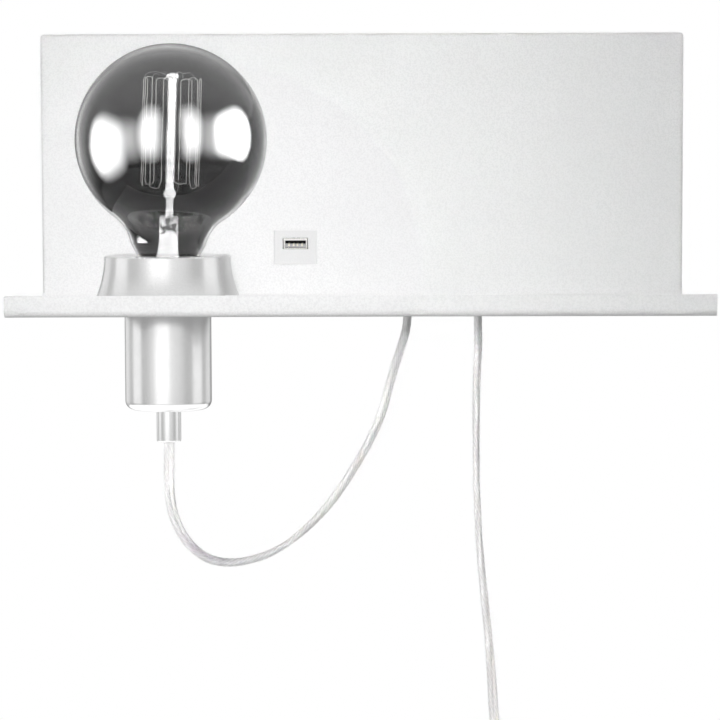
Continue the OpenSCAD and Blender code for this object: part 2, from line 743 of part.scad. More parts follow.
// A screw along +Y from under its head to the wall face of the cover
module fixing_screw(head_y) {
  translate([0, head_y, 0]) rotate([-90, 0, 0]) difference() {
    union() {
      translate([0, 0, -1.6]) cylinder(r = 2.6, h = 1.6);
      cylinder(r = fixing_r, h = -head_y - 0.1);
    }
    translate([0, 0, -1.6]) cross_slot(3.4, 0.8);
  }
}

module fixing_screws() {
  color(steel) {
    for (side = [-1, 1]) translate([supply_at[0] + side * supply_ear_x, 0, supply_at[2]])
      fixing_screw(-cover_t - ear_t);
    translate([block_at[0], 0, block_at[2]]) fixing_screw(block_screw_y);
  }
}

module supply_leads() {
  x0 = supply_at[0] + supply_size[0] / 2;
  face = block_at[0] - block_size[0] / 2;
  back_y = block_at[1] + 3;
  color(dark) for (side = [-1, 1]) let (z0 = supply_at[2] + side * 4,
    z1 = block_at[2] + side * pole_gap / 2 + 1.3)
    tube([[x0, supply_at[1], z0], [x0 + 4, supply_at[1], z0],
      [x0 + 11, supply_at[1] + 2, z0 - 3], [face - 11, back_y, (z0 + z1) / 2],
      [face - 7, back_y - 0.5, z1 + 3.5], [face - 3, block_at[1], z1 + 0.3],
      [face - 0.5, block_at[1], z1], [face + 5, block_at[1], z1]], 0.8, 6);
}

module port_leads() {
  z0 = supply_at[2] - supply_size[2] / 2;
  case_top = plate_at[2] + skirt_h / 2;
  color(dark) for (side = [-1, 1]) let (x = plate_at[0] + side * 1.2)
    tube([[x, supply_at[1], z0], [x, supply_at[1], z0 - 4],
      [x, (supply_at[1] + lead_y) / 2, (z0 + case_top) / 2], [x, lead_y, case_top + 3],
      [x, lead_y, board_top]], 0.8, 6);
}

// ---- Wiring in the housing ----

pole_r = 2.4;
block_screw_y = block_at[1] - block_size[1] / 2 + 3;

module block_poles(r) {
  for (side = [-1, 1]) translate(block_at + [0, 0, side * pole_gap / 2])
    rotate([0, 90, 0]) translate([0, 0, -block_size[0] / 2 - 1])
      cylinder(r = r, h = block_size[0] + 2);
}

module terminal_block() {
  color(white) difference() {
    translate(block_at + [-block_size[0] / 2, -block_size[1] / 2, -block_size[2] / 2])
      cube(block_size);
    block_poles(pole_r);
    for (x = [-5, 5], side = [-1, 1])
      translate(block_at + [x, -block_size[1] / 2 - 1, side * pole_gap / 2])
        rotate([-90, 0, 0]) cylinder(r = 2, h = 5.4);
    translate([block_at[0], block_screw_y, block_at[2]]) rotate([-90, 0, 0]) {
      translate([0, 0, -4]) cylinder(r = 2.75, h = 4);
      cylinder(r = fixing_r + fit, h = block_size[1]);
    }
  }
}

module terminal_screws() {
  head_y = block_at[1] - block_size[1] / 2 + 1;
  color(brass) for (x = [-5, 5], side = [-1, 1])
    translate([block_at[0] + x, head_y, block_at[2] + side * pole_gap / 2])
      rotate([-90, 0, 0]) difference() {
        cylinder(r = 1.9, h = 3.2);
        translate([-2, -0.3, -eps]) cube([4, 0.6, 1]);
      }
}

clamp_w = 18;
clamp_h = 8;
clamp_z = shelf_z + 24;
clamp_screw_x = 6.2;
clamp_base_y = exit_y + cord_r + 0.1;
clamp_bar_y = exit_y - cord_r - 0.1;
clamp_bar_t = 3;

module clamp_bases() {
  color(white) for (at = [lamp_at, mains_at]) translate(at + [0, -exit_y, clamp_z])
    difference() {
      slab(clamp_w, clamp_base_y, -cover_t, clamp_h);
      for (x = [-clamp_screw_x, clamp_screw_x]) translate([x, clamp_base_y - 1, 0])
        rotate([-90, 0, 0]) cylinder(r = fixing_r + fit, h = -clamp_base_y + 2);
    }
}

module clamp_bars() {
  color(white) for (at = [lamp_at, mains_at]) translate(at + [0, -exit_y, clamp_z])
    difference() {
      slab(clamp_w, clamp_bar_y - clamp_bar_t, clamp_bar_y, clamp_h);
      for (x = [-clamp_screw_x, clamp_screw_x])
        translate([x, clamp_bar_y - clamp_bar_t - 1, 0]) rotate([-90, 0, 0])
          cylinder(r = fixing_r + fit, h = clamp_bar_t + 2);
    }
}

module clamp_screws() {
  color(steel) for (at = [lamp_at, mains_at], side = [-1, 1])
    translate([at[0] + side * clamp_screw_x, 0, clamp_z])
      fixing_screw(clamp_bar_y - clamp_bar_t);
}

// A moulded sleeve, gripping the cover's bottom flange in its groove
module relief(at, foot, top) {
  groove_r = relief_hole_r - 0.05;
  flange_r = relief_hole_r + 1.2;
  lower = under_z - 1.4;
  upper = under_z + cover_t + 1.4;
  color(white) translate(at) rotate_extrude() polygon([
    [cord_bore_r, foot], [cord_r + 0.9, foot], [cord_r + 1.7, lower], [flange_r, lower],
    [flange_r, under_z], [groove_r, under_z], [groove_r, under_z + cover_t],
    [flange_r, under_z + cover_t], [flange_r - 0.8, upper], [cord_r + 1.4, upper],
    [cord_r + 0.9, top], [cord_bore_r, top]]);
}

module lamp_relief() {
  relief(lamp_at, lamp_relief_foot, shelf_z + 10);
}

module mains_relief() {
  relief(mains_at, mains_relief_foot, shelf_z + 15);
}

// A lead inside the housing: its sheath, and its two cores into the block
module tail(at, foot, side) {
  face = block_at[0] + side * block_size[0] / 2;
  color(white) translate(at + [0, 0, foot]) cylinder(r = cord_r, h = tail_top_z - foot);
  color(white) for (pole = [-1, 1]) let (x0 = at[0] - side * pole * 1.3,
    z1 = block_at[2] + pole * pole_gap / 2 - 0.9, x1 = face - side * 6)
    tube([[x0, exit_y, tail_top_z], [x0, exit_y, tail_top_z + 4],
      [x0 * 0.8 + face * 0.2, (exit_y + block_at[1]) / 2, z1 - 4],
      [x0 * 0.4 + face * 0.6, block_at[1], z1 - 0.5],
      [face + side * 0.5, block_at[1], z1], [x1, block_at[1], z1]], core_r, 6);
}

module lamp_tail() {
  tail(lamp_at, lamp_relief_foot, -1);
}

module mains_tail() {
  tail(mains_at, mains_relief_foot, 1);
}

// ---- Free leads ----

module lamp_lead() {
  color(white) tube(LAMP_ROUTE, cord_r, 8);
}

module mains_lead() {
  color(white) tube(MAINS_ROUTE, cord_r, 8);
}

module coil_lead() {
  color(white) tube(COIL_LEAD_ROUTE, cord_r, 8);
}

module plug_lead() {
  color(white) tube(PLUG_LEAD_ROUTE, cord_r, 8);
}

// The coil: four layers from the wall outwards, spiralling in and out again
loop_rings = 24;
function smooth(x) = let (t = min(1, max(0, x))) t * t * (3 - 2 * t);
function layer_share(n) = (n % coil_turns) / coil_turns;
function winding_r(n) = let (layer = floor(n / coil_turns))
  coil_r - coil_pitch * coil_turns
    * (layer % 2 == 0 ? layer_share(n) : 1 - layer_share(n));
function climb(n, k = 1) =
  k > 3 ? 0 : smooth((n - k * coil_turns + 0.25) / 0.5) + climb(n, k + 1);
function coil_point(n) = let (a = 180 + 360 * n,
  r = n >= coil_turns_all ? coil_r : winding_r(n))
  coil_mid + [r * cos(a), -coil_layer * climb(n), r * sin(a)];
COIL = concat([coil_point(0) + [0, 0, coil_end]],
  [for (i = [0 : coil_turns_all * loop_rings]) coil_point(i / loop_rings)],
  [coil_point(coil_turns_all) - [0, 0, coil_end]]);

// The least distance between points of the coil that lie over half a turn apart
coil_gap = min([for (i = [0 : len(COIL) - 1], j = [0 : len(COIL) - 1])
  if (j - i > loop_rings / 2) norm(COIL[i] - COIL[j])]) - cord_w;
echo(coil_least_gap = coil_gap);

module mains_coil() {
  color(white) tube(COIL, cord_r, 6);
}

module coil_tie() {
  tie_t = 1.2;
  tie_w = 5;
  low = coil_r - coil_pitch * coil_turns - cord_r - gap;
  high = coil_r + cord_r + gap;
  deep = 3 * coil_layer + cord_w + 2 * gap;
  mid_y = coil_mid[1] - 1.5 * coil_layer;
  color(white) translate([coil_mid[0], mid_y, coil_mid[2] + (low + high) / 2]) {
    difference() {
      slab(tie_w, -deep / 2 - tie_t, deep / 2 + tie_t, high - low + 2 * tie_t);
      slab(tie_w + 2, -deep / 2, deep / 2, high - low);
    }
    translate([0, -deep / 2 - tie_t - 1.5, 0]) slab(tie_w + 2, 0, 1.5 + eps, 7);
  }
}

// ---- In-line switch ----

// The switch's outline, a strip with round ends, between two depths
module switch_strip(w, length, y0, y1) {
  slab(w, y0, y1, length - w);
  for (end = [-1, 1]) translate([0, min(y0, y1), end * (length - w) / 2])
    rotate([-90, 0, 0]) cylinder(d = w, h = abs(y1 - y0));
}

module switch_cord_hole() {
  translate([0, 0, -switch_len / 2 - 1]) cylinder(r = cord_bore_r, h = switch_len + 2);
}

switch_screw_at = [7.2, 15];
screw_post_r = 2.6;

module switch_base() {
  half = switch_t / 2;
  color(white) translate(switch_mid) difference() {
    union() {
      difference() {
        switch_strip(switch_w, switch_len, 0, half);
        switch_strip(switch_w - 2 * shell_wall, switch_len - 2 * shell_wall,
          -1, half - shell_wall);
      }
      for (side = [-1, 1])
        translate([side * switch_screw_at[0], eps, side * switch_screw_at[1]])
          rotate([-90, 0, 0]) cylinder(r = screw_post_r, h = half - shell_wall);
    }
    switch_cord_hole();
    for (side = [-1, 1])
      translate([side * switch_screw_at[0], -1, side * switch_screw_at[1]])
        rotate([-90, 0, 0]) {
          cylinder(r = 1.5, h = half + 2);
          translate([0, 0, half - 0.8]) cylinder(r = 2.6, h = 3);
        }
  }
}

rocker_w = 11;
rocker_len = 19;
rocker_tilt = 8;
rocker_pin_r = 1.5;
rocker_axis_y = -4;

module switch_cover() {
  half = switch_t / 2;
  window_w = rocker_w + 2 * gap;
  window_len = rocker_len + 2 * gap;
  ear = 1.6;
  color(white) translate(switch_mid) difference() {
    union() {
      difference() {
        switch_strip(switch_w, switch_len, -half, -0.05);
        switch_strip(switch_w - 2 * shell_wall, switch_len - 2 * shell_wall,
          -half + shell_wall, 1);
      }
      for (side = [-1, 1]) {
        translate([side * (window_w / 2 + ear / 2), 0, 0])
          slab(ear, -half + shell_wall - eps, rocker_axis_y + 2.6, 6);
        translate([side * switch_screw_at[0], -half + shell_wall, side * switch_screw_at[1]])
          rotate([-90, 0, 0]) cylinder(r = screw_post_r, h = half - shell_wall - 0.05);
      }
    }
    switch_cord_hole();
    slab(window_w, -half - 1, -half + shell_wall + 1, window_len);
    translate([-window_w / 2 - ear - 1, rocker_axis_y, 0]) rotate([0, 90, 0])
      cylinder(r = rocker_pin_r + fit, h = window_w + 2 * ear + 2);
    for (side = [-1, 1])
      translate([side * switch_screw_at[0], -half + 3, side * switch_screw_at[1]])
        rotate([-90, 0, 0]) cylinder(r = 1.3, h = half);
  }
}

module switch_rocker() {
  valley = switch_t / 2 + rocker_axis_y + 0.2;
  end_z = rocker_len / 2 - 0.6;
  ridge = valley + end_z * tan(rocker_tilt);
  color(white) translate(switch_mid + [0, rocker_axis_y, 0]) rotate([-rocker_tilt, 0, 0]) {
    intersection() {
      rotate([90, 0, 90]) translate([0, 0, -rocker_w / 2]) linear_extrude(rocker_w)
        polygon([[1, -end_z], [-ridge, -end_z], [-valley, 0], [-ridge, end_z], [1, end_z]]);
      translate([-rocker_w / 2, 0, 0]) rotate([0, 90, 0])
        cylinder(r = rocker_len / 2 - 0.2, h = rocker_w);
    }
    translate([-rocker_w / 2 - 1.7, 0, 0]) rotate([0, 90, 0])
      cylinder(r = rocker_pin_r, h = rocker_w + 3.4);
  }
}

switch_terminal_z = 17;

module switch_terminals() {
  color(brass) translate(switch_mid) for (end = [-1, 1])
    translate([-end * 5.2, 2.2, end * switch_terminal_z]) difference() {
      slab(4, 0, 4, 6);
      translate([0, 2, -4]) cylinder(r = 0.9, h = 8);
    }
}

module switch_leads() {
  stub = 6;
  color(white) for (end = [-1, 1])
    translate(switch_mid + [0, 0, end > 0 ? switch_len / 2 - stub : -switch_len / 2])
      cylinder(r = cord_r, h = stub);
  z = switch_len / 2 - stub;
  color(white) tube([switch_mid + [1.3, 0, z], switch_mid + [1.6, 0.6, z - 3],
    switch_mid + [3, 3, z - 9], switch_mid + [3.4, 4, 0], switch_mid + [3, 3, 9 - z],
    switch_mid + [1.6, 0.6, 3 - z], switch_mid + [1.3, 0, -z]], 0.8, 6);
}

module switch_screws() {
  half = switch_t / 2;
  color(steel) translate(switch_mid) for (side = [-1, 1])
    translate([side * switch_screw_at[0], half - 0.8, side * switch_screw_at[1]])
      rotate([90, 0, 0]) difference() {
        union() {
          translate([0, 0, -0.6]) cylinder(r = 2.4, h = 0.6);
          cylinder(r = 1.25, h = half + 2);
        }
        translate([0, 0, -0.6]) cross_slot(3, 0.4);
      }
}

// ---- Plug ----

plug_w = 26;
plug_t = 13.7;
plug_neck = 18;
plug_body_len = 36;
plug_at = [48, -18, plug_z];
plug_face_z = plug_z - plug_neck + 12 - plug_body_len;

module plug_body() {
  shoulder = plug_face_z + 20;
  top = plug_face_z + plug_body_len;
  color(white) translate([plug_at[0], plug_at[1], 0]) difference() {
    union() {
      intersection() {
        rotate([90, 0, 0]) translate([0, 0, -plug_t / 2]) linear_extrude(plug_t)
          polygon([[-plug_w / 2, plug_face_z], [plug_w / 2, plug_face_z],
            [plug_w / 2, shoulder], [6.2, top], [-6.2, top], [-plug_w / 2, shoulder]]);
        rotate([90, 0, 90]) translate([0, 0, -plug_w / 2]) linear_extrude(plug_w)
          polygon([[-plug_t / 2, plug_face_z], [plug_t / 2, plug_face_z],
            [plug_t / 2, shoulder + 4], [4.8, top], [-4.8, top],
            [-plug_t / 2, shoulder + 4]]);
      }
      translate([0, 0, top - 2]) cylinder(r1 = 4.8, r2 = cord_r + 0.8, h = plug_z - top + 2);
    }
    for (x = [-pin_gap / 2, pin_gap / 2]) translate([x, 0, plug_face_z - 1])
      cylinder(d = pin_d - 0.3, h = 9);
    translate([0, 0, plug_z - 0.5]) cylinder(r = cord_r + 0.05, h = 1);
  }
}

module plug_pins() {
  seat = 6;
  sleeve = 10;
  color(steel) for (x = [-pin_gap / 2, pin_gap / 2])
    translate([plug_at[0] + x, plug_at[1], plug_face_z]) {
      translate([0, 0, -sleeve]) cylinder(d = pin_d - 0.4, h = sleeve + seat);
      translate([0, 0, -pin_len + pin_d / 2]) cylinder(d = pin_d, h = pin_len - pin_d / 2 - sleeve);
      translate([0, 0, -pin_len + pin_d / 2]) sphere(d = pin_d);
    }
}

shelf_panel();
rear_cover();
cover_screws();
collar();
barrel();
socket_insert();
contact_shell();
centre_contact();
holder_terminals();
holder_leads();
grip_nut();
cord_grip();
grip_screw();
bulb_glass();
bulb_cap();
bulb_insulator();
bulb_tip();
bulb_stem();
bulb_supports();
bulb_filament();
port_plate();
port_shell();
port_tongue();
port_contacts();
port_board();
port_case();
port_clips();
power_supply();
fixing_screws();
supply_leads();
port_leads();
terminal_block();
terminal_screws();
clamp_bases();
clamp_bars();
clamp_screws();
lamp_relief();
mains_relief();
lamp_tail();
mains_tail();
lamp_lead();
mains_lead();
switch_base();
switch_cover();
switch_rocker();
switch_terminals();
switch_leads();
switch_screws();
coil_lead();
mains_coil();
coil_tie();
plug_lead();
plug_body();
plug_pins();
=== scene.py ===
"""A wall lamp with a shelf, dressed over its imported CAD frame.

The scene stands in the frame of the CAD model: the wall is the plane y = 0, the lamp's
front faces -Y, +X is to the right and +Z is up. The lamp's sizes and places are written
in millimetres, as in the part's source, and the helpers that use them turn them into
metres. The paths of the leads, the camera, the lamps and the floor are in metres.
"""

import json
import math

import bpy
from mathutils import Matrix, Vector


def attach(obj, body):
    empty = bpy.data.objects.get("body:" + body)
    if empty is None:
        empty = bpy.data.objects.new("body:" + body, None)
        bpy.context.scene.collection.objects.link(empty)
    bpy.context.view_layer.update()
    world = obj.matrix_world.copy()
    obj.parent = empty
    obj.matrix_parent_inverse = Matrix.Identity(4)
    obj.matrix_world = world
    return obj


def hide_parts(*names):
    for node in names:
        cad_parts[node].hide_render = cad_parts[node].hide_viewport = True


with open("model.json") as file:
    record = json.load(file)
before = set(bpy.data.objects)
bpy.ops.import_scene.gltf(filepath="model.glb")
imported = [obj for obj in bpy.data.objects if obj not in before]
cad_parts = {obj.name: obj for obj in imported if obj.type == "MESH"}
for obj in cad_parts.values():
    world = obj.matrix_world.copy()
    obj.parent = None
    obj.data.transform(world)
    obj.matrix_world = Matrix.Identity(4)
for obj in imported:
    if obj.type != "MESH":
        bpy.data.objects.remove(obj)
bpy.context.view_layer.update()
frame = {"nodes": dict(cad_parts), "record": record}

NODES = frame["nodes"]
RECORD = frame["record"]
SLOT_OF = {part["node"]: part["material_slot"] for part in RECORD["subparts"]}
BODY_OF = {
    node: body for body, nodes in RECORD["behaviour"]["bodies"].items() for node in nodes
}
SCENE = bpy.context.scene
MM = 0.001


# ---- Places and sizes ----

SHELF_TOP = -100
SHELF_FOOT = -101.2
HOLDER = Vector((-96, -120, 0))
COLLAR_TALL = 26.5
COLLAR_TOP_R = 31.3
COLLAR_FLARE = 7.2
BARREL_R = 21.5
BARREL_FOOT = -150
GRIP_FOOT = -166.5
BORE_R = 2.75
GLOBE_R = 47.5
GLOBE_Z = -16.4
GLASS_WALL = 1.4
NECK_BEND_R = 20
THREAD_PITCH = 3.6
STRANDS = 14
CAGE_TOP = 13.2
CAGE_LOW = -37.6
PORT = Vector((-35.4, -25.8, -70.8))
LAMP_EXIT = Vector((24, -12, -107))
MAINS_EXIT = Vector((62, -12, -110))
LEAD_W = 5.2
LOBE_R = 1.6
STRAND_LAY = 3.9
SWITCH = Vector((71, -12, -362))
SWITCH_TOP = -336
SWITCH_FOOT = -388
COIL = Vector((84, -5.4, -450))
COIL_R = 35
COIL_PITCH = 5.7
COIL_LAYER = 5.8
LAYER_TURNS = 2
PLUG = Vector((48, -18, -486))
PLUG_FACE = -528
PIN_APART = 18.6


def in_metres(rows):
    return [Vector(row) * MM for row in rows]


LAMP_ROUTE = in_metres([
    (-96, -120, -166.5), (-96, -120, -174), (-96.2, -120, -184), (-95.8, -119.6, -194),
    (-94, -118, -204), (-90, -114.6, -214), (-84, -109.2, -222.5), (-76, -102, -228.6),
    (-66, -93, -231.3), (-55, -83.1, -230.8), (-44, -73.2, -227.6), (-34, -64.2, -221.8),
    (-24, -55.2, -213.6), (-15, -47.1, -204), (-7, -39.9, -193), (0, -33.6, -182),
    (6, -28.2, -171), (10.5, -24.2, -160.5), (14.3, -20.7, -147), (17.4, -18, -136.5),
    (20.6, -15.1, -127), (23, -12.9, -119), (24, -12, -112.4), (24, -12, -107),
])
MAINS_ROUTE = in_metres([
    (62, -12, -110), (62, -12, -116), (62.2, -12, -126), (61.6, -12, -138),
    (61.2, -12, -150), (61, -12, -163), (61, -12, -176), (61.1, -12, -188),
    (61.2, -12, -200), (61.8, -12, -214), (62.4, -12, -228), (63.4, -12, -241),
    (64.6, -12, -254), (66, -12, -268), (67.4, -12, -282), (68.6, -12, -296),
    (69.6, -12, -310), (70.3, -12, -322), (71, -12, -330.5), (71, -12, -336),
    (71, -12, -353), (71, -12, -371), (71, -12, -388), (71, -12, -394),
    (69.6, -11.4, -403), (65.8, -9.8, -411), (60, -8.4, -417.2), (54.2, -7, -423.6),
    (50.4, -5.8, -431.6), (49, -5.4, -438), (49, -5.4, -444),
])
PLUG_ROUTE = in_metres([
    (49, -22.8, -456), (49, -22.8, -461), (48.6, -21.4, -467), (48.2, -19.2, -474),
    (48, -18, -480), (48, -18, -486),
])


# ---- Camera ----

def make_camera():
    lens = bpy.data.cameras.new("photo_camera")
    lens.sensor_width = 36
    lens.lens = 134.95
    lens.clip_end = 60
    camera = bpy.data.objects.new("photo_camera", lens)
    SCENE.collection.objects.link(camera)
    camera.matrix_world = (
        Matrix.Translation((0.0092, -1.4589, -0.0254))
        @ Matrix.Rotation(math.radians(0.42), 4, "Z")
        @ Matrix.Rotation(math.radians(90 - 4.29), 4, "X")
        @ Matrix.Rotation(math.radians(-0.18), 4, "Z")
    )
    SCENE.camera = camera


# ---- Modelling by hand ----

def deselect_all():
    for thing in list(bpy.context.selected_objects):
        thing.select_set(False)


def hold(piece):
    """Makes a piece the one that is selected and active."""
    deselect_all()
    piece.select_set(True)
    bpy.context.view_layer.objects.active = piece
    return piece


def named(name):
    piece = bpy.context.object
    piece.name = name
    piece.data.name = name
    return piece


def object_mode():
    bpy.ops.object.mode_set(mode="OBJECT")


def edit_all():
    """Opens the held piece in edit mode, with all of it selected."""
    bpy.ops.object.mode_set(mode="EDIT")
    bpy.ops.mesh.select_mode(type="VERT")
    bpy.ops.mesh.select_all(action="SELECT")


def face_outwards():
    """Turns all the open piece's faces outwards, and leaves edit mode."""
    bpy.ops.mesh.select_all(action="SELECT")
    bpy.ops.mesh.normals_make_consistent(inside=False)
    object_mode()


def pick(piece, kind, test):
    """Opens a piece with the faces, edges or vertices that pass a test selected."""
    bpy.ops.object.mode_set(mode="EDIT")
    bpy.ops.mesh.select_mode(type=kind)
    bpy.ops.mesh.select_all(action="DESELECT")
    object_mode()
    mesh = piece.data
    if kind == "FACE":
        for face in mesh.polygons:
            face.select = test(face.normal)
    elif kind == "EDGE":
        for edge in mesh.edges:
            a, b = (mesh.vertices[i].co / MM for i in edge.vertices)
            edge.select = test(a, b)
    else:
        for vertex in mesh.vertices:
            vertex.select = test(vertex.co / MM)
    bpy.ops.object.mode_set(mode="EDIT")


def point(name, at):
    """A piece that is one point so far, open for drawing on."""
    deselect_all()
    bpy.ops.mesh.primitive_plane_add(size=MM)
    piece = named(name)
    edit_all()
    bpy.ops.mesh.merge(type="CENTER")
    bpy.ops.transform.translate(value=Vector(at) * MM)
    return piece


def draw_on(*step):
    """Extrudes what is selected by a step."""
    bpy.ops.mesh.extrude_region_move(
        TRANSFORM_OT_translate={"value": tuple(length * MM for length in step)},
    )


def apply_all(piece):
    hold(piece)
    for modifier in list(piece.modifiers):
        bpy.ops.object.modifier_apply(modifier=modifier.name)
    return piece


def placed(piece, move):
    """Moves a piece's mesh by a matrix, and leaves its origin at the world's."""
    hold(piece)
    piece.matrix_world = move
    bpy.ops.object.transform_apply(location=True, rotation=True, scale=True)
    return piece


def shift(x, y=0, z=0):
    return Matrix.Translation(Vector((x, y, z)) * MM)


def turn_in_holder(degrees, axis="Z", height=0):
    """A turn about an axis through the middle of the holder at a height."""
    middle = shift(HOLDER.x, HOLDER.y, height)
    return middle @ Matrix.Rotation(math.radians(degrees), 4, axis) @ middle.inverted()


def repeated(piece, moves):
    """A piece, and a copy of it with its own mesh for each move."""
    pieces = [piece]
    for move in moves:
        each = piece.copy()
        each.data = piece.data.copy()
        SCENE.collection.objects.link(each)
        pieces.append(placed(each, move))
    return pieces


def joined(name, pieces):
    hold(pieces[0])
    for piece in pieces[1:]:
        piece.select_set(True)
    bpy.ops.object.join()
    return named(name)


def smooth(piece, angle=35):
    hold(piece)
    bpy.ops.object.shade_smooth_by_angle(angle=math.radians(angle))
    return piece


def evened(piece):
    """Keeps flat faces flat in their shading, beside edges that are rounded."""
    flat = piece.modifiers.new("even_faces", "WEIGHTED_NORMAL")
    flat.weight = 100
    flat.keep_sharp = True
    return apply_all(piece)


def bevelled(piece, width, segments=2, angle=30):
    """Rounds every edge that is sharper than an angle."""
    edge = piece.modifiers.new("rounded_edges", "BEVEL")
    edge.width = width * MM
    edge.segments = segments
    edge.limit_method = "ANGLE"
    edge.angle_limit = math.radians(angle)
    edge.miter_outer = "MITER_ARC"
    return apply_all(piece)


def cut(piece, tool, operation="DIFFERENCE"):
    """Cuts one piece with another, which is then removed."""
    knife = piece.modifiers.new("cut", "BOOLEAN")
    knife.operation = operation
    knife.solver = "EXACT"
    knife.object = tool
    apply_all(piece)
    bpy.data.objects.remove(tool)
    return piece


def block(name, low, high):
    """A box between two corners."""
    low = Vector(low) * MM
    high = Vector(high) * MM
    deselect_all()
    bpy.ops.mesh.primitive_cube_add(size=1, location=(low + high) / 2, scale=high - low)
    bpy.ops.object.transform_apply(location=True, rotation=True, scale=True)
    return named(name)


def rod(name, start, radius, length, axis="Z", vertices=48):
    """A round bar from a point, along an axis."""
    turn, along = {
        "X": ((0, math.pi / 2, 0), (1, 0, 0)),
        "Y": ((-math.pi / 2, 0, 0), (0, 1, 0)),
        "Z": ((0, 0, 0), (0, 0, 1)),
    }[axis]
    middle = Vector(start) + Vector(along) * length / 2
    deselect_all()
    bpy.ops.mesh.primitive_cylinder_add(
        vertices=vertices, radius=radius * MM, depth=length * MM, rotation=turn,
        location=middle * MM,
    )
    bpy.ops.object.transform_apply(location=True, rotation=True, scale=True)
    return named(name)


def arc(centre_r, centre_z, radius, start, end, steps):
    """Points of an arc in an outline of (radius, height), by angles in degrees."""
    points = []
    for i in range(steps + 1):
        a = math.radians(start + (end - start) * i / steps)
        points.append((centre_r + radius * math.cos(a), centre_z + radius * math.sin(a)))
    return points


def turned(name, outline, at, steps):
    """Turns an outline of (radius, height) round a vertical axis through a place."""
    first_r, first_z = outline[0]
    piece = point(name, (at.x + first_r, at.y, first_z))
    for (r0, z0), (r1, z1) in zip(outline, outline[1:]):
        draw_on(r1 - r0, 0, z1 - z0)
    bpy.ops.mesh.select_all(action="SELECT")
    middle = (at.x * MM, at.y * MM, 0)
    bpy.ops.mesh.spin(steps=steps, angle=2 * math.pi, center=middle, axis=(0, 0, 1))
    bpy.ops.mesh.select_all(action="SELECT")
    bpy.ops.mesh.remove_doubles(threshold=2e-6)
    face_outwards()
    return piece


def wire(name, points, radius):
    """A round wire along a row of points, closed at both ends."""
    point(name, points[0])
    for a, b in zip(points, points[1:]):
        draw_on(*(b - a))
    object_mode()
    bpy.ops.object.convert(target="CURVE")
    line = bpy.context.object.data
    line.bevel_depth = radius * MM
    line.bevel_resolution = 2
    bpy.ops.object.convert(target="MESH")
    piece = named(name)
    for end in (points[0], points[-1]):
        pick(piece, "VERT", lambda co: (co - end).length < 1.2 * radius)
        bpy.ops.mesh.edge_face_add()
        object_mode()
    edit_all()
    face_outwards()
    return smooth(piece, 60)


def eased_copy(node, name, edge, segments=2):
    """A merged copy of a CAD node, with its sharp edges a little rounded."""
    piece = bpy.data.objects.new(name, NODES[node].data.copy())
    piece.data.name = name
    SCENE.collection.objects.link(piece)
    hold(piece)
    bpy.ops.mesh.customdata_custom_splitnormals_clear()
    edit_all()
    bpy.ops.mesh.remove_doubles(threshold=2e-6)
    bpy.ops.mesh.dissolve_limited(angle_limit=math.radians(0.3))
    object_mode()
    if edge:
        bevelled(piece, edge, segments)
    return evened(smooth(piece))


def dress(piece, *nodes, finish=None, like=None, shares=()):
    """Gives a finished piece the finish of the nodes that it stands for, by their slot, and their
    body.

    A piece that stands for none is dressed like one. Where finish is a list, shares says
    which of its finishes each face takes.
    """
    model = like or nodes[0]
    slot = SLOT_OF[model]
    finish = finish or FINISHES[slot]
    piece.data.materials.clear()
    for each in finish if isinstance(finish, list) else [finish]:
        piece.data.materials.append(each)
    for face, share in zip(piece.data.polygons, shares):
        face.material_index = share
    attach(piece, BODY_OF[model])
    if nodes:
        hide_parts(*nodes)
    return piece


def eased(node, name, edge, segments=2, finish=None):
    return dress(eased_copy(node, name, edge, segments), node, finish=finish)




# ---- Finishes ----

def add_node(tree, kind, inputs, **settings):
    """A node of a kind. Its inputs are given as numbers or as sockets to link."""
    made = tree.nodes.new("ShaderNode" + kind)
    for key, value in settings.items():
        setattr(made, key, value)
    for key, value in inputs.items():
        if isinstance(value, bpy.types.NodeSocket):
            tree.links.new(value, made.inputs[key])
        else:
            made.inputs[key].default_value = value
    return made


def new_finish(name, constants):
    finish = bpy.data.materials.new(name)
    finish.use_nodes = True
    shader = finish.node_tree.nodes["Principled BSDF"]
    for key, number in constants.items():
        shader.inputs[key].default_value = number
    return finish, finish.node_tree, shader


def coordinates(tree, kind):
    return add_node(tree, "TexCoord", {}).outputs[kind]


def object_space(tree, stretch=(1, 1, 1)):
    place = coordinates(tree, "Object")
    return add_node(tree, "Mapping", {"Vector": place, "Scale": stretch}).outputs["Vector"]


def parted(tree, vector):
    """The X, Y and Z of a vector."""
    return add_node(tree, "SeparateXYZ", {"Vector": vector}).outputs


def noise(tree, vector, size, detail=2.0, roughness=0.5, distortion=0.0):
    """A noise whose lumps are about one size across."""
    return add_node(tree, "TexNoise", {
        "Scale": 1 / (size * MM), "Detail": detail, "Roughness": roughness,
        "Distortion": distortion, "Vector": vector,
    }).outputs["Fac"]


def ranged(tree, value, low, high, to_low=0, to_high=1):
    return add_node(tree, "MapRange", {
        "From Min": low, "From Max": high, "To Min": to_low, "To Max": to_high, "Value": value,
    }, interpolation_type="SMOOTHSTEP").outputs["Result"]


def math_node(tree, operation, a, b=0):
    return add_node(tree, "Math", {0: a, 1: b}, operation=operation).outputs["Value"]


def grey(shade):
    """A colour as three numbers, from one number, three or a socket."""
    return (shade, shade, shade) if isinstance(shade, (int, float)) else shade


def mixed(tree, factor, first, second):
    """A mix of two colours, each given as a grey, three numbers or a socket."""
    inputs = {"Factor": factor}
    for key, shade in ((6, first), (7, second)):
        colour = grey(shade)
        inputs[key] = (*colour, 1) if isinstance(colour, tuple) else colour
    return add_node(tree, "Mix", inputs, data_type="RGBA").outputs[2]


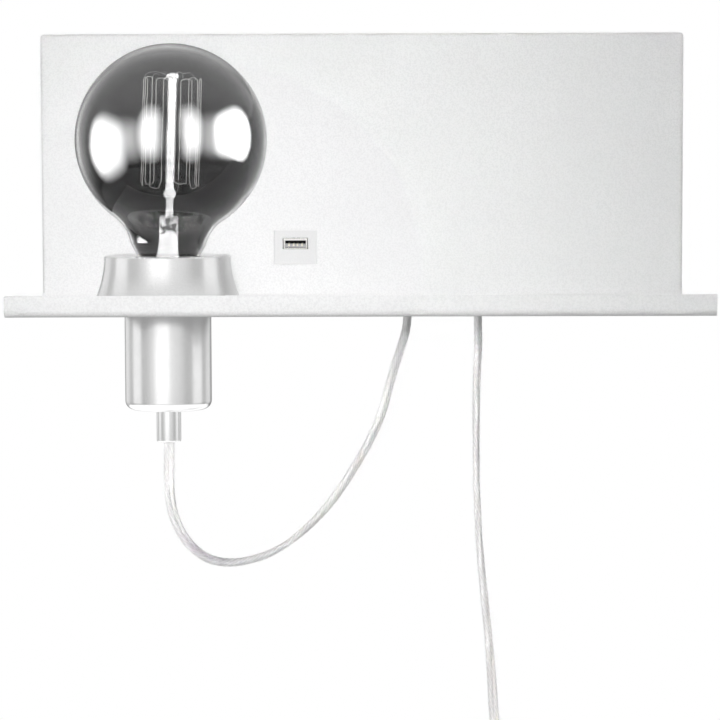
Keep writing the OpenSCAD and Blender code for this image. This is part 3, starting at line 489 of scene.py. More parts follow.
def painted(tree, shader, colour, gloss=None, relief=None, depth=0):
    """Wires a finish's colour, roughness and relief into its shader."""
    tree.links.new(colour, shader.inputs["Base Color"])
    if gloss is not None:
        tree.links.new(gloss, shader.inputs["Roughness"])
    if relief is not None:
        bump = add_node(tree, "Bump", {"Distance": depth * MM, "Height": relief})
        tree.links.new(bump.outputs["Normal"], shader.inputs["Normal"])


def added(tree, first, second, share):
    """One height and a share of another."""
    return math_node(tree, "ADD", first, math_node(tree, "MULTIPLY", second, share))


def grained(name, dark, light, grain, rough, depth, metallic=0.0, wide=25):
    """A finish with a fine grain in its colour and relief, and a slow change in its gloss."""
    finish, tree, shader = new_finish(name, {"Metallic": metallic})
    fine = noise(tree, object_space(tree), grain, 3.0, 0.6)
    slow = noise(tree, object_space(tree), grain * wide)
    shade = mixed(tree, ranged(tree, fine, 0.3, 0.7), dark, light)
    painted(tree, shader, shade, ranged(tree, slow, 0.3, 0.7, *rough), fine, depth)
    return finish


def make_powder_coat():
    """Fine textured white powder coat: a low orange peel with specks between."""
    finish, tree, shader = new_finish("powder_coat_white", {})
    vector = object_space(tree)
    peel = noise(tree, vector, 1.3)
    speck = noise(tree, vector, 0.9, 2.0, 0.6)
    slow = noise(tree, vector, 60)
    cloud = mixed(tree, ranged(tree, slow, 0.3, 0.7), 0.87, 0.89)
    shade = mixed(tree, ranged(tree, speck, 0.4, 0.65), cloud, 0.82)
    gloss = ranged(tree, peel, 0.3, 0.7, 0.44, 0.56)
    painted(tree, shader, shade, gloss, added(tree, peel, speck, 0.5), 0.085)
    return finish


def make_satin_nickel():
    """Satin nickel on turned parts: fine rings from the lathe under a soft blasted grain."""
    finish, tree, shader = new_finish("satin_nickel", {"Metallic": 1.0})
    rings = noise(tree, object_space(tree, (0.02, 0.02, 1)), 0.25, 2.0, 0.7)
    grain = noise(tree, object_space(tree), 0.5, 3.0, 0.7)
    slow = noise(tree, object_space(tree), 9)
    shade = mixed(tree, ranged(tree, grain, 0.3, 0.7), 0.86, 0.93)
    gloss = ranged(tree, slow, 0.3, 0.7, 0.19, 0.25)
    painted(tree, shader, shade, gloss, added(tree, rings, grain, 0.6), 0.006)
    return finish


def make_zinc():
    """Zinc plate: soft crystals that differ a little in tone and gloss."""
    finish, tree, shader = new_finish("zinc_plate", {"Metallic": 1.0})
    vector = object_space(tree)
    crystal = add_node(tree, "TexVoronoi", {"Scale": 1 / (1.6 * MM), "Vector": vector})
    tone = ranged(tree, crystal.outputs["Distance"], 0.0, 0.8)
    shade = mixed(tree, tone, (0.7, 0.71, 0.73), (0.6, 0.61, 0.63))
    grain = noise(tree, vector, 0.3, 3.0)
    painted(tree, shader, shade, ranged(tree, grain, 0.3, 0.7, 0.3, 0.42), grain, 0.01)
    return finish


def make_outer_glass():
    """The outside of the bulb: clear and glossy, with slow waves from blowing."""
    constants = {"Roughness": 0.0, "Transmission Weight": 1.0, "IOR": 1.45}
    finish, tree, shader = new_finish("bulb_glass_outside", constants)
    waves = noise(tree, object_space(tree), 26, 1.0, 0.4, 0.6)
    tint = mixed(tree, ranged(tree, waves, 0.3, 0.7), 0.98, 1.0)
    painted(tree, shader, tint, None, waves, 0.25)
    return finish


def make_smoke_with_painted_reflection():
    """The inside of the bulb: a thin smoke coat with a painted reflection in it, paler towards the
    crown where the bright sky above would show, with faint streaky painted reflections.
    """
    constants = {"Roughness": 0.0, "Transmission Weight": 1.0, "IOR": 1.45}
    finish, tree, shader = new_finish("bulb_glass_smoke_painted_reflection", constants)
    z = parted(tree, coordinates(tree, "Object"))["Z"]
    # Painted reflection: the coat is paler upwards, as the bright sky above would show in the
    # glass.
    height = ranged(tree, z, -60 * MM, 34 * MM)
    coat = mixed(tree, height, (0.016, 0.016, 0.0162), (0.1, 0.1, 0.101))
    # Painted reflection: faint lighter smears through the coat.
    painted_reflection_streaks = noise(tree, object_space(tree, (1, 1, 3)), 16, 3.0, 0.5, 1.2)
    thin = mixed(tree, ranged(tree, painted_reflection_streaks, 0.35, 0.75, 0, 0.3), coat, 0.12)
    # Painted reflection: palest at the crown.
    crown = ranged(tree, z, 24 * MM, 32 * MM)
    painted(tree, shader, mixed(tree, crown, thin, 0.6))
    return finish


def make_clear_glass(name, seed_size, seed_depth, milk, dark):
    """The stem's glass: thick and a little milky, so that it catches light from the sides."""
    constants = {"Roughness": 0.04, "Transmission Weight": 1 - milk, "IOR": 1.5}
    finish, tree, shader = new_finish(name, constants)
    seed = noise(tree, object_space(tree), seed_size)
    tint = mixed(tree, ranged(tree, seed, 0.42, 0.58), dark, 1.0)
    painted(tree, shader, tint, None, seed, seed_depth)
    return finish


def make_lead_sheath():
    """The lead's sheath: matt white, with the lay of the strands showing through in slants."""
    strands = 11
    finish, tree, shader = new_finish("lead_sheath_white", {})
    on_lead = parted(tree, coordinates(tree, "UV"))
    along = math_node(tree, "MULTIPLY", on_lead["Y"], 2 * math.pi / (STRAND_LAY * MM))
    around = math_node(tree, "MULTIPLY", on_lead["X"], 2 * math.pi * strands)
    slant = math_node(tree, "SINE", math_node(tree, "ADD", along, around))
    grain = noise(tree, object_space(tree), 0.5, 3.0)
    strand = mixed(tree, ranged(tree, slant, -1, 1), 0.77, 0.9)
    cloud = noise(tree, object_space(tree), 1.6)
    shade = mixed(tree, ranged(tree, cloud, 0.35, 0.65, 0, 0.7), strand, 0.9)
    gloss = ranged(tree, grain, 0.3, 0.7, 0.42, 0.55)
    painted(tree, shader, shade, gloss, added(tree, slant, grain, 0.5), 0.05)
    return finish


def make_board():
    """A green lacquered board with fine copper runs."""
    finish, tree, shader = new_finish("circuit_board", {"Roughness": 0.35})
    runs = add_node(tree, "TexVoronoi", {
        "Scale": 1 / (2.2 * MM), "Vector": object_space(tree),
    }, feature="DISTANCE_TO_EDGE")
    line = ranged(tree, runs.outputs["Distance"], 0.04, 0.07, 1, 0)
    shade = mixed(tree, line, (0.03, 0.2, 0.07), (0.1, 0.34, 0.14))
    painted(tree, shader, shade, None, line, 0.03)
    return finish


FINISHES = {
    "powder_white": make_powder_coat(),
    "satin_nickel": make_satin_nickel(),
    "zinc_steel": make_zinc(),
    "porcelain": grained("glazed_porcelain", (0.84, 0.83, 0.8), (0.88, 0.87, 0.85),
                         2, (0.1, 0.18), 0.02),
    "brass": grained("pressed_brass", (0.74, 0.56, 0.27), (0.83, 0.66, 0.36),
                     0.8, (0.22, 0.36), 0.01, 1.0),
    "nickel": grained("bright_nickel", (0.72, 0.71, 0.69), (0.8, 0.79, 0.77),
                      0.6, (0.12, 0.22), 0.006, 1.0),
    "black_insulator": grained("black_glass", (0.012, 0.011, 0.014), (0.03, 0.028, 0.034),
                               1.2, (0.1, 0.2), 0.01),
    "wire": grained("drawn_wire", 0.62, 0.74, 0.5, (0.25, 0.35), 0.004, 1.0),
    "filament": grained("coated_filament", (0.82, 0.81, 0.79), (0.92, 0.91, 0.89),
                        0.4, (0.5, 0.7), 0.01),
    "white_plastic": grained("moulded_plastic_white", (0.85, 0.85, 0.845), (0.88, 0.88, 0.875),
                             0.35, (0.34, 0.44), 0.012, wide=60),
    "green_board": make_board(),
    "white_lead": make_lead_sheath(),
    "dark_wire": grained("black_insulation", 0.03, 0.055, 0.6, (0.4, 0.55), 0.01),
    "smoked_glass": make_smoke_with_painted_reflection(),
    "clear_glass": make_clear_glass("stem_glass", 3, 0.2, 0.28, 0.93),
}
PORT_PLASTIC = grained("port_plate_white", 0.74, 0.78, 0.35, (0.34, 0.44), 0.012, wide=60)
PORT_TONGUE = grained("port_tongue_grey", 0.42, 0.48, 0.4, (0.4, 0.5), 0.01)
# Painted shade: the inside of the port's metal shell is near black, for the shade deep in its
# mouth.
PORT_PAINTED_SHADE = grained("port_shell_painted_shade", 0.02, 0.04, 0.4, (0.4, 0.55), 0.01)
PALE_GOLD = grained("contact_gold", (0.86, 0.82, 0.7), (0.92, 0.88, 0.77),
                    0.5, (0.25, 0.35), 0.004, 1.0)
PRESS_GLASS = make_clear_glass("press_glass", 2.2, 0.8, 0.5, 0.12)
FLARE_GLASS = make_clear_glass("flare_glass", 4, 0.3, 0.75, 0.93)
OUTER_GLASS = make_outer_glass()


def dress_nodes():
    """Every CAD node takes the finish of its slot; those that are replaced don't show it."""
    for node, slot in SLOT_OF.items():
        materials = NODES[node].data.materials
        materials.clear()
        materials.append(FINISHES[slot])


# ---- Leads ----

def smooth_path(points, step):
    """Points about a step apart, on one smooth curve through the given ones."""
    path = []
    for i in range(len(points) - 1):
        b = points[i]
        c = points[i + 1]
        a = points[i - 1] if i else 2 * b - c
        d = points[i + 2] if i + 2 < len(points) else 2 * c - b
        count = max(1, round((c - b).length / step))
        for k in range(count):
            t = k / count
            path.append(0.5 * (
                2 * b + (c - a) * t + (2 * a - 5 * b + 4 * c - d) * t * t
                + (3 * b - a - 3 * c + d) * t ** 3
            ))
    path.append(points[-1])
    return path


def ease(x):
    x = min(1, max(0, x))
    return x * x * (3 - 2 * x)


def coil_path(rings):
    """The coil's turns: four layers from the wall outwards, spiralling in and out again."""
    turns = 4 * LAYER_TURNS
    points = []
    for i in range(turns * rings + 1):
        n = i / rings
        layer = int(n // LAYER_TURNS)
        share = (n % LAYER_TURNS) / LAYER_TURNS
        inwards = share if layer % 2 == 0 else 1 - share
        radius = COIL_R - COIL_PITCH * LAYER_TURNS * inwards if n < turns else COIL_R
        climb = sum(ease((n - k * LAYER_TURNS + 0.25) / 0.5) for k in (1, 2, 3))
        a = math.pi + 2 * math.pi * n
        off = Vector((radius * math.cos(a), -COIL_LAYER * climb, radius * math.sin(a)))
        points.append((COIL + off) * MM)
    return points


def lead_section(bulge):
    """The flat lead across: two round lobes side by side with a groove between them."""
    points = []
    for side in (1, -1):
        for i in range(11):
            a = math.radians(-118 + 236 * i / 10)
            r = LOBE_R * (1 + 0.035 * math.cos(bulge + 2 * a * side))
            x = LEAD_W / 2 - LOBE_R + r * math.cos(a)
            y = r * math.sin(a)
            points.append((side * x * MM, side * y * MM))
        points.append((0, side * 0.95 * MM))
    return points


def make_lead(name, path, across):
    """A flat twin lead along a path. across(i, direction) says which way its width lies."""
    verts = []
    faces = []
    travelled = [0.0]
    for a, b in zip(path, path[1:]):
        travelled.append(travelled[-1] + (b - a).length)
    sides = 24
    last = len(path) - 1
    for i, centre in enumerate(path):
        direction = (path[min(i + 1, last)] - path[max(i - 1, 0)]).normalized()
        width = across(i, direction)
        width = (width - width.dot(direction) * direction).normalized()
        depth = direction.cross(width)
        for x, y in lead_section(2 * math.pi * travelled[i] / (STRAND_LAY * MM)):
            verts.append(centre + width * x + depth * y)
        if i:
            base = (i - 1) * sides
            for k in range(sides):
                j = (k + 1) % sides
                faces.append((base + k, base + j, base + sides + j, base + sides + k))
    faces.append(tuple(range(sides - 1, -1, -1)))
    faces.append(tuple(last * sides + k for k in range(sides)))
    mesh = bpy.data.meshes.new(name)
    mesh.from_pydata(verts, [], faces)
    layer = mesh.uv_layers.new(name="lead")
    for face in mesh.polygons:
        for corner in face.loop_indices:
            vertex = mesh.loops[corner].vertex_index
            k = vertex % sides
            if k == 0 and face.vertices[0] % sides == sides - 1 and len(face.vertices) == 4:
                k = sides
            layer.data[corner].uv = (k / sides, travelled[vertex // sides])
    piece = bpy.data.objects.new(name, mesh)
    SCENE.collection.objects.link(piece)
    return smooth(piece, 60)


def key_turn(keys, share):
    """An angle in degrees, eased between keys of (share of the way, angle)."""
    for (s0, a0), (s1, a1) in zip(keys, keys[1:]):
        if share <= s1:
            return a0 + (a1 - a0) * ease((share - s0) / (s1 - s0))
    return keys[-1][1]


def make_lamp_lead():
    """From the holder's foot, down, across and up into the housing, in one slow twist."""
    path = smooth_path(LAMP_ROUTE, 0.8 * MM)
    away = Vector((0, 1, 0))
    keys = [(0, 4), (0.2, 48), (0.38, 84), (0.6, 126), (1, 132)]

    def across(i, direction):
        outwards = away.cross(direction).normalized()
        forwards = -(away - away.dot(direction) * direction).normalized()
        turn = math.radians(key_turn(keys, i / (len(path) - 1)))
        return math.cos(turn) * outwards + math.sin(turn) * forwards

    lead = make_lead("lamp_lead_flat", path, across)
    dress(lead, "lamp_lead")
    return lead


def make_mains_lead():
    """Down from the housing through the switch, round the coil and on to the plug."""
    free = smooth_path(MAINS_ROUTE, 0.8 * MM)
    wound = coil_path(190)
    last = smooth_path(PLUG_ROUTE, 0.8 * MM)
    into_coil = smooth_path([free[-1], wound[0]], 0.8 * MM)
    out_of_coil = smooth_path([wound[-1], last[0]], 0.8 * MM)
    path = free[:-1] + into_coil[:-1] + wound[:-1] + out_of_coil[:-1] + last
    coil_start = len(free) + len(into_coil) - 2
    coil_end = coil_start + len(wound) - 1
    switch_top = next(i for i, p in enumerate(path) if p.z <= SWITCH_TOP * MM)
    switch_foot = next(i for i, p in enumerate(path) if p.z <= SWITCH_FOOT * MM)
    keys = [(0, 52), (0.4, 78), (0.75, 60), (1, 0)]

    def across(i, direction):
        if i <= switch_top:
            angle = key_turn(keys, i / switch_top)
        elif i <= switch_foot:
            angle = 0
        elif i <= coil_start:
            angle = 90 * ease((i - switch_foot) / (coil_start - switch_foot))
        elif i <= coil_end:
            angle = 90
        else:
            angle = 90 * (1 - ease((i - coil_end) / (len(path) - 1 - coil_end)))
        turn = math.radians(angle)
        return Vector((math.cos(turn), math.sin(turn), 0))

    lead = make_lead("mains_lead_flat", path, across)
    dress(lead, "mains_lead", "coil_lead", "mains_coil", "plug_lead")
    return lead, path


# ---- Sheet metal ----

def make_sheet_metal():
    """The bent sheet of panel, shelf and lip, and the cover that closes the housing."""
    eased("shelf_panel", "bent_sheet", 0.22)
    eased("rear_cover", "rear_plate", 0.18)
    eased("cover_screws", "pan_head_screws", 0.18)


# ---- Lamp holder ----

def collar_radius(height):
    return COLLAR_TOP_R + COLLAR_FLARE * (1 - height / COLLAR_TALL) ** 2


def make_collar():
    """The flared ring on the shelf, hollow below, with a threaded hub under its top."""
    top = SHELF_TOP + COLLAR_TALL
    edge = 0.8
    wall = 1.5
    hub_foot = -92
    outside = []
    for i in range(29):
        h = (COLLAR_TALL - edge) * i / 28
        outside.append((collar_radius(h), SHELF_TOP + h))
    crown = arc(outside[-1][0] - edge, top - edge, edge, 12, 90, 6)
    mouth = arc(17.5 + 0.4, top - 0.4, 0.4, 90, 180, 4)
    hub = [(17.5, top - wall), (19.3, top - wall), (19.3, hub_foot)]
    hub += [(21.3, hub_foot), (21.3, top - wall)]
    inside = []
    for i in range(13):
        h = (COLLAR_TALL - wall) * (1 - i / 12)
        inside.append((collar_radius(h) - wall, SHELF_TOP + h))
    foot = arc(collar_radius(0) - 0.3, SHELF_TOP + 0.3, 0.3, -90, 0, 3)
    outline = foot + outside[1:] + crown[1:] + mouth + hub + inside
    outline.append(outline[0])
    return dress(smooth(turned("flared_collar", outline, HOLDER, 128), 40), "collar")


def make_barrel():
    """The cup below the shelf, with the threaded neck that goes up through it."""
    floor = BARREL_FOOT + 1.5
    ceiling = SHELF_FOOT - 1.5
    corner = arc(BARREL_R - 4.5, BARREL_FOOT + 4.5, 4.5, -90, 0, 14)
    rim = arc(BARREL_R - 0.3, SHELF_FOOT - 0.3, 0.3, 0, 90, 3)
    inner_corner = arc(BARREL_R - 4.5, BARREL_FOOT + 4.5, 3, 0, -90, 8)
    outline = [(5.1, BARREL_FOOT + 0.2), (5.3, BARREL_FOOT)] + corner + rim
    outline += [(19.2, SHELF_FOOT), (19.2, -76.7), (19.0, -76.5), (17.9, -76.5)]
    outline += [(17.9, ceiling), (20, ceiling)] + inner_corner
    outline += [(5.1, floor), (5.1, BARREL_FOOT + 0.2)]
    return dress(smooth(turned("holder_barrel", outline, HOLDER, 128), 40), "barrel")


def make_cord_grip():
    """The slim tube at the holder's foot, with the little screw that grips the lead."""
    foot = arc(4.9, GRIP_FOOT + 1.2, 1.2, -90, 0, 8)
    mouth = arc(2.95, GRIP_FOOT + 0.2, 0.2, 180, 270, 3)
    shoulder = BARREL_FOOT - 0.02
    outline = mouth + foot + [(6.1, shoulder), (4.9, shoulder), (4.9, -144), (BORE_R, -144)]
    outline.append(outline[0])
    grip = turned("cord_grip_tube", outline, HOLDER, 64)
    cut(grip, rod("grip_hole", HOLDER + Vector((0, 2, -158.25)), 1.5, 8, "Y"))
    eased("grip_screw", "grip_set_screw", 0.1)
    return dress(smooth(grip, 40), "cord_grip")


# ---- Bulb ----

LEAN = turn_in_holder(2, "Y", -80)


def glass_outline(inset):
    """Half of the glass from its foot to its crown, set inwards."""
    bend_at = 38.3
    bend_z = GLOBE_Z - math.sqrt((GLOBE_R + NECK_BEND_R) ** 2 - bend_at ** 2)
    end = math.degrees(math.atan2(GLOBE_Z - bend_z, -bend_at))
    start = 180 - math.degrees(math.asin((-68 - bend_z) / NECK_BEND_R))
    foot = [(12.6 - inset, -81.5), (12.6 - inset, -79)]
    neck = arc(bend_at, bend_z, NECK_BEND_R + inset, start, end, 14)
    globe = arc(0, GLOBE_Z, GLOBE_R - inset, end - 180, 90, 54)
    return foot + neck + globe[1:-1] + [(0, GLOBE_Z + GLOBE_R - inset)]


def make_glass():
    """The globe and its neck, one wall of glass: clear outside, with the smoke inside."""
    outline = glass_outline(0)[::-1] + glass_outline(GLASS_WALL)
    glass = turned("bulb_globe", outline, HOLDER, 128)
    shares = []
    for face in glass.data.polygons:
        out = face.center / MM - HOLDER
        out.z = 0 if out.z < -20 else out.z - GLOBE_Z
        shares.append(1 if face.normal.dot(out) < 0 else 0)
    placed(smooth(glass, 50), LEAN)
    dress(glass, "bulb_glass", finish=[OUTER_GLASS, FINISHES["smoked_glass"]], shares=shares)
    glass.visible_shadow = False
    glass.visible_diffuse = False
    return glass


def make_stem():
    """The mount in the neck: a flare, the press that seals the wires, and a long rod."""
    flare = [(0, -76), (1.5, -76.3), (3.6, -77.4), (7.6, -79), (10.5, -79.6), (10.9, -79.2)]
    flare += [(10.3, -78.3), (7.4, -76.4), (5.8, -74.2), (5.1, -71), (4.8, -67), (4.6, -62.5)]
    flare += [(0, -62.5)]
    mount = turned("bulb_stem_glass", flare, HOLDER, 64)
    low = HOLDER + Vector((-4.7, -2.6, -63.4))
    high = HOLDER + Vector((4.7, 2.6, -54))
    cut(mount, bevelled(block("press", low, high), 1.1, 4), "UNION")
    rise = [(0, -55), (2.0, -55), (1.9, -52.5), (1.8, -49), (1.85, -46), (2.5, -44.6)]
    rise += [(3.1, -43.4), (3.1, -42.4), (2.5, -41.2), (1.9, -40), (1.8, -38), (1.8, 12.6)]
    rise += [(2.1, 13.6), (3.1, 14.1), (3.2, 14.9), (3.0, 15.7), (1.4, 16.6), (0, 16.8)]
    cut(mount, turned("column", rise, HOLDER, 48), "UNION")
    press_middle = HOLDER + Vector((0, 0, -58.6))
    shares = []
    for face in mount.data.polygons:
        off = face.center / MM - press_middle
        in_press = abs(off.z) < 4 and max(abs(off.x), abs(off.y)) < 3.9
        shares.append(1 if in_press else 2 if off.z < -5 else 0)
    placed(smooth(mount, 45), LEAN)
    glasses = [FINISHES["clear_glass"], PRESS_GLASS, FLARE_GLASS]
    dress(mount, "bulb_stem", finish=glasses, shares=shares)
    mount.visible_shadow = False
    return mount


def cage_point(strand, radius, height):
    a = math.radians(360 * (strand + 0.5) / STRANDS + 90)
    return HOLDER + Vector((radius * math.cos(a), radius * math.sin(a), height))


def make_filament():
    """One long wire in seven hairpins round the stem, over hooks above and below."""
    points = []
    for strand in range(STRANDS):
        up = strand % 2 == 0
        low = CAGE_LOW + 1.6 * math.sin(2.3 * (strand // 2))
        start, end = (low, CAGE_TOP) if up else (CAGE_TOP, low)
        points.append(cage_point(strand, 14.2, start))
        points.append(cage_point(strand, 14.45, (start + end) / 2))
        points.append(cage_point(strand, 14.2, end))
        if strand < STRANDS - 1:
            bend = 1.1 if up else -1.1
            points.append(cage_point(strand + 0.22, 14.1, end + bend * 0.75))
            points.append(cage_point(strand + 0.5, 14.0, end + bend))
            points.append(cage_point(strand + 0.78, 14.1, end + bend * 0.75))
    return dress(placed(wire("filament_wire", points, 0.2), LEAN), "bulb_filament")


def make_supports():
    """Fine hooks from the button to the bends, and the two wires that feed the filament."""
    hook_rows = [(2.6, 14.6), (5, 16.2), (8.6, 17), (12, 16.2), (13.6, 14.9), (13.7, 13.8)]
    feed_rows = [(2.4, -56), (2.9, -52.5), (6, -46.5), (10.5, -42.6), (13.6, -40.4), (14.2, -38.4)]
    hook = wire("hook", [cage_point(1.5, *row) for row in hook_rows], 0.16)
    feed = wire("feed", [cage_point(0, *row) for row in feed_rows], 0.22)
    wires = repeated(hook, [turn_in_holder(360 * 2 * k / STRANDS) for k in range(1, 6)])
    wires += repeated(feed, [turn_in_holder(-360 / STRANDS)])
    return dress(placed(joined("support_wires", wires), LEAN), "bulb_supports")


def make_cap():
    """The screw cap: a rolled thread that climbs in one line, under a plain skirt."""
    steps = 12
    cap = point("screw_cap", HOLDER + Vector((13, 0, -102.6)))
    for i in range(steps):
        a = 2 * math.pi * i / steps
        b = 2 * math.pi * (i + 1) / steps
        draw_on(0.33 * (math.cos(b) - math.cos(a)), 0, THREAD_PITCH / steps)
    object_mode()
    SCENE.cursor.location = HOLDER * MM
    bpy.ops.object.origin_set(type="ORIGIN_CURSOR")
    SCENE.cursor.location = (0, 0, 0)
    thread = cap.modifiers.new("thread", "SCREW")
    thread.screw_offset = THREAD_PITCH * MM
    thread.iterations = 5
    thread.steps = 72
    thread.render_steps = 72
    thread.use_merge_vertices = True
    thread.merge_threshold = 2e-6
    apply_all(cap)
    bpy.ops.object.transform_apply(location=True, rotation=True, scale=True)
    pick(cap, "VERT", lambda at: not -101.9 < at.z < -82.2)
    bpy.ops.mesh.delete(type="VERT")
    face_outwards()
    wall = cap.modifiers.new("wall", "SOLIDIFY")
    wall.thickness = 0.3 * MM
    wall.offset = -1
    apply_all(cap)
    ring = [(12.75, -83.6), (13.1, -82.6), (13.4, -82.3), (13.4, -79.5), (13.3, -79.4)]
    ring += [(13.1, -79.4), (13.0, -79.5), (13.0, -82.0), (12.45, -83.4), (12.75, -83.6)]
    cone = [(12.2, -102.2), (12.5, -101.6), (12.2, -101.3), (11.7, -102.2), (12.2, -102.2)]
    pieces = [cap, turned("skirt", ring, HOLDER, 72), turned("cap_foot", cone, HOLDER, 72)]
    dress(smooth(joined("screw_cap", pieces), 50), "bulb_cap")


# ---- Charging port ----

def make_port():
    """The face plate, and in it the metal shell with its rolled mouth, tongue and contacts."""
    plate = eased_copy("port_plate", "port_face_plate", 0)

    def at_side(a, b):
        upright = abs(a.x - b.x) < 0.01 and abs(a.x - PORT.x) > 11.2
        return upright and max(a.y, b.y) < PORT.y + 0.1

    pick(plate, "EDGE", at_side)
    bpy.ops.mesh.bevel(offset=0.8 * MM, segments=1, affect="EDGES")
    object_mode()
    bevelled(plate, 0.06, angle=50)
    dress(evened(smooth(plate)), "port_plate", finish=PORT_PLASTIC)
    low = PORT + Vector((-6.35, 0.05, -2.84))
    high = PORT + Vector((6.35, 14.1, 2.84))
    shell = block("port_metal_shell", low, high)
    pick(shell, "FACE", lambda normal: normal.y < -0.9)
    bpy.ops.mesh.inset(thickness=0.85 * MM)
    bpy.ops.transform.resize(value=(1, 1, 0.95))
    bpy.ops.transform.translate(value=(0, 0, -0.35 * MM))
    draw_on(0, 10.5, 0)
    face_outwards()
    evened(smooth(bevelled(shell, 0.14, 3)))
    # The faces inside the shell's mouth take the painted shade.
    shares = []
    for face in shell.data.polygons:
        off = face.center / MM - PORT
        inside = off.y > 0.4 and abs(off.x) < 5.8 and abs(off.z) < 2.4
        shares.append(1 if inside else 0)
    dress(shell, "port_shell", finish=[FINISHES["nickel"], PORT_PAINTED_SHADE], shares=shares)
    eased("port_tongue", "port_tongue_moulding", 0.12, finish=PORT_TONGUE)
    strips = eased_copy("port_contacts", "port_contact_strips", 0.04)
    tip = block("contact_tip", PORT + Vector((-4, 0.78, -1.5)), PORT + Vector((-3, 1, 0)))
    smooth(bevelled(tip, 0.08))
    tips = repeated(tip, [shift(x) for x in (2.5, 4.5, 7)])
    contacts = joined("port_contact_strips", [strips, *tips])
    dress(contacts, "port_contacts", finish=PALE_GOLD)


# ---- Where the leads leave ----

def make_relief(name, at, top, node):
    """A moulded sleeve, ribbed so that it bends, that grips the edge of its hole."""
    foot = at.z
    lower = SHELF_FOOT - 1.4
    groove = SHELF_FOOT + 1
    barb = SHELF_FOOT + 2.4
    outline = [(BORE_R, foot + 0.2), (2.95, foot), (3.3, foot), (3.5, foot + 0.3)]
    z = foot + 1
    while z + 1.6 < lower:
        outline += [(3.6, z), (3.6, z + 0.7), (3.15, z + 0.9), (3.15, z + 1.3)]
        z += 1.6
    outline += [(4.1, lower - 0.15), (5.3, lower), (5.6, lower + 0.3), (5.6, SHELF_FOOT - 0.02)]
    outline += [(4.35, SHELF_FOOT), (4.35, groove), (5.5, groove), (4.9, barb), (4, barb)]
    outline += [(3.5, top), (BORE_R, top), (BORE_R, foot + 0.2)]
    dress(smooth(turned(name, outline, at, 48), 40), node)


# ---- In-line switch ----

def switch_shell(name, y0, y1, rim_y=None, grow=0.0):
    """A strip with round ends between two depths. Where rim_y is given, its rim is rounded."""
    half_w = 11 + grow
    half_l = 26 + grow
    low = (SWITCH.x - half_w, y0, SWITCH.z - half_l)
    high = (SWITCH.x + half_w, y1, SWITCH.z + half_l)
    shell = block(name, low, high)
    pick(shell, "EDGE", lambda a, b: abs(a.y - b.y) > 1)
    bpy.ops.mesh.bevel(offset=half_w * 0.98 * MM, segments=16, affect="EDGES")
    object_mode()
    if rim_y is not None:
        pick(shell, "EDGE", lambda a, b: max(abs(a.y - rim_y), abs(b.y - rim_y)) < 0.01)
        bpy.ops.mesh.bevel(offset=1.8 * MM, segments=5, affect="EDGES")
        object_mode()
    return shell


def make_switch():
    """A two part case on the lead, with a rocker in its face and two screws in its back."""
    base = switch_shell("switch_back_case", -12, -4, rim_y=-4)
    cut(base, switch_shell("hollow", -14, -5.5, grow=-1.5))
    cover = switch_shell("switch_front_case", -20, -12.05, rim_y=-20)
    cut(cover, switch_shell("hollow", -18.5, -10, grow=-1.5))
    low = SWITCH + Vector((-5.8, -10, -9.8))
    high = SWITCH + Vector((5.8, -4, 9.8))
    cut(cover, block("window", low, high))
    for case in (base, cover):
        cut(case, rod("way", SWITCH - Vector((0, 0, 30)), BORE_R, 60))
    for side in (1, -1):
        x = SWITCH.x + side * 7.2
        z = SWITCH.z + side * 15
        cut(base, rod("post", (x, -11.8, z), 2.9, 6.9, "Y", 32), "UNION")
        cut(base, rod("recess", (x, -5.2, z), 2.6, 4, "Y", 32))
        cut(base, rod("screw_way", (x, -13, z), 1.5, 9, "Y", 32))
    for case, node in ((base, "switch_base"), (cover, "switch_cover")):
        dress(evened(smooth(bevelled(case, 0.15, 2, 40))), node)
    rocker = eased("switch_rocker", "rocker_key", 0.35, 3)
    screws = eased("switch_screws", "switch_case_screws", 0.1)
    return [base, cover, rocker, screws]


# ---- Tie and plug ----

def strap(name, turns, radius, width):
    """A solid drawn round the turns of the flat lead, as far from its cores as the radius."""
    rods = []
    for turn in turns:
        for core in (-1, 1):
            start = turn + Vector((-width / 2, core, 0))
            rods.append(rod(name, start, radius, width, "X"))
    piece = joined(name, rods)
    edit_all()
    bpy.ops.mesh.convex_hull()
    bpy.ops.mesh.dissolve_limited(angle_limit=math.radians(0.3))
    object_mode()
    return piece


def make_tie():
    """A strap pulled tight round the coil at its top, with its head and loose end in front."""
    turns = [turn / MM for turn in coil_path(4)[3::4]]
    tie = cut(strap("band", turns, 3, 5), strap("hollow", turns, 2, 7))
    front = turns[-1] - Vector((0, 4, 3))
    head = block("head", front - Vector((3.5, 1.7, 3)), front + Vector((3.5, 0.3, 3)))
    end = block("end", front - Vector((2.2, 1.2, 13)), front + Vector((2.2, -0.3, 0)))
    cut(cut(tie, head, "UNION"), end, "UNION")
    named("coil_tie_band")
    return dress(evened(smooth(bevelled(tie, 0.25, 3, 40))), "coil_tie")


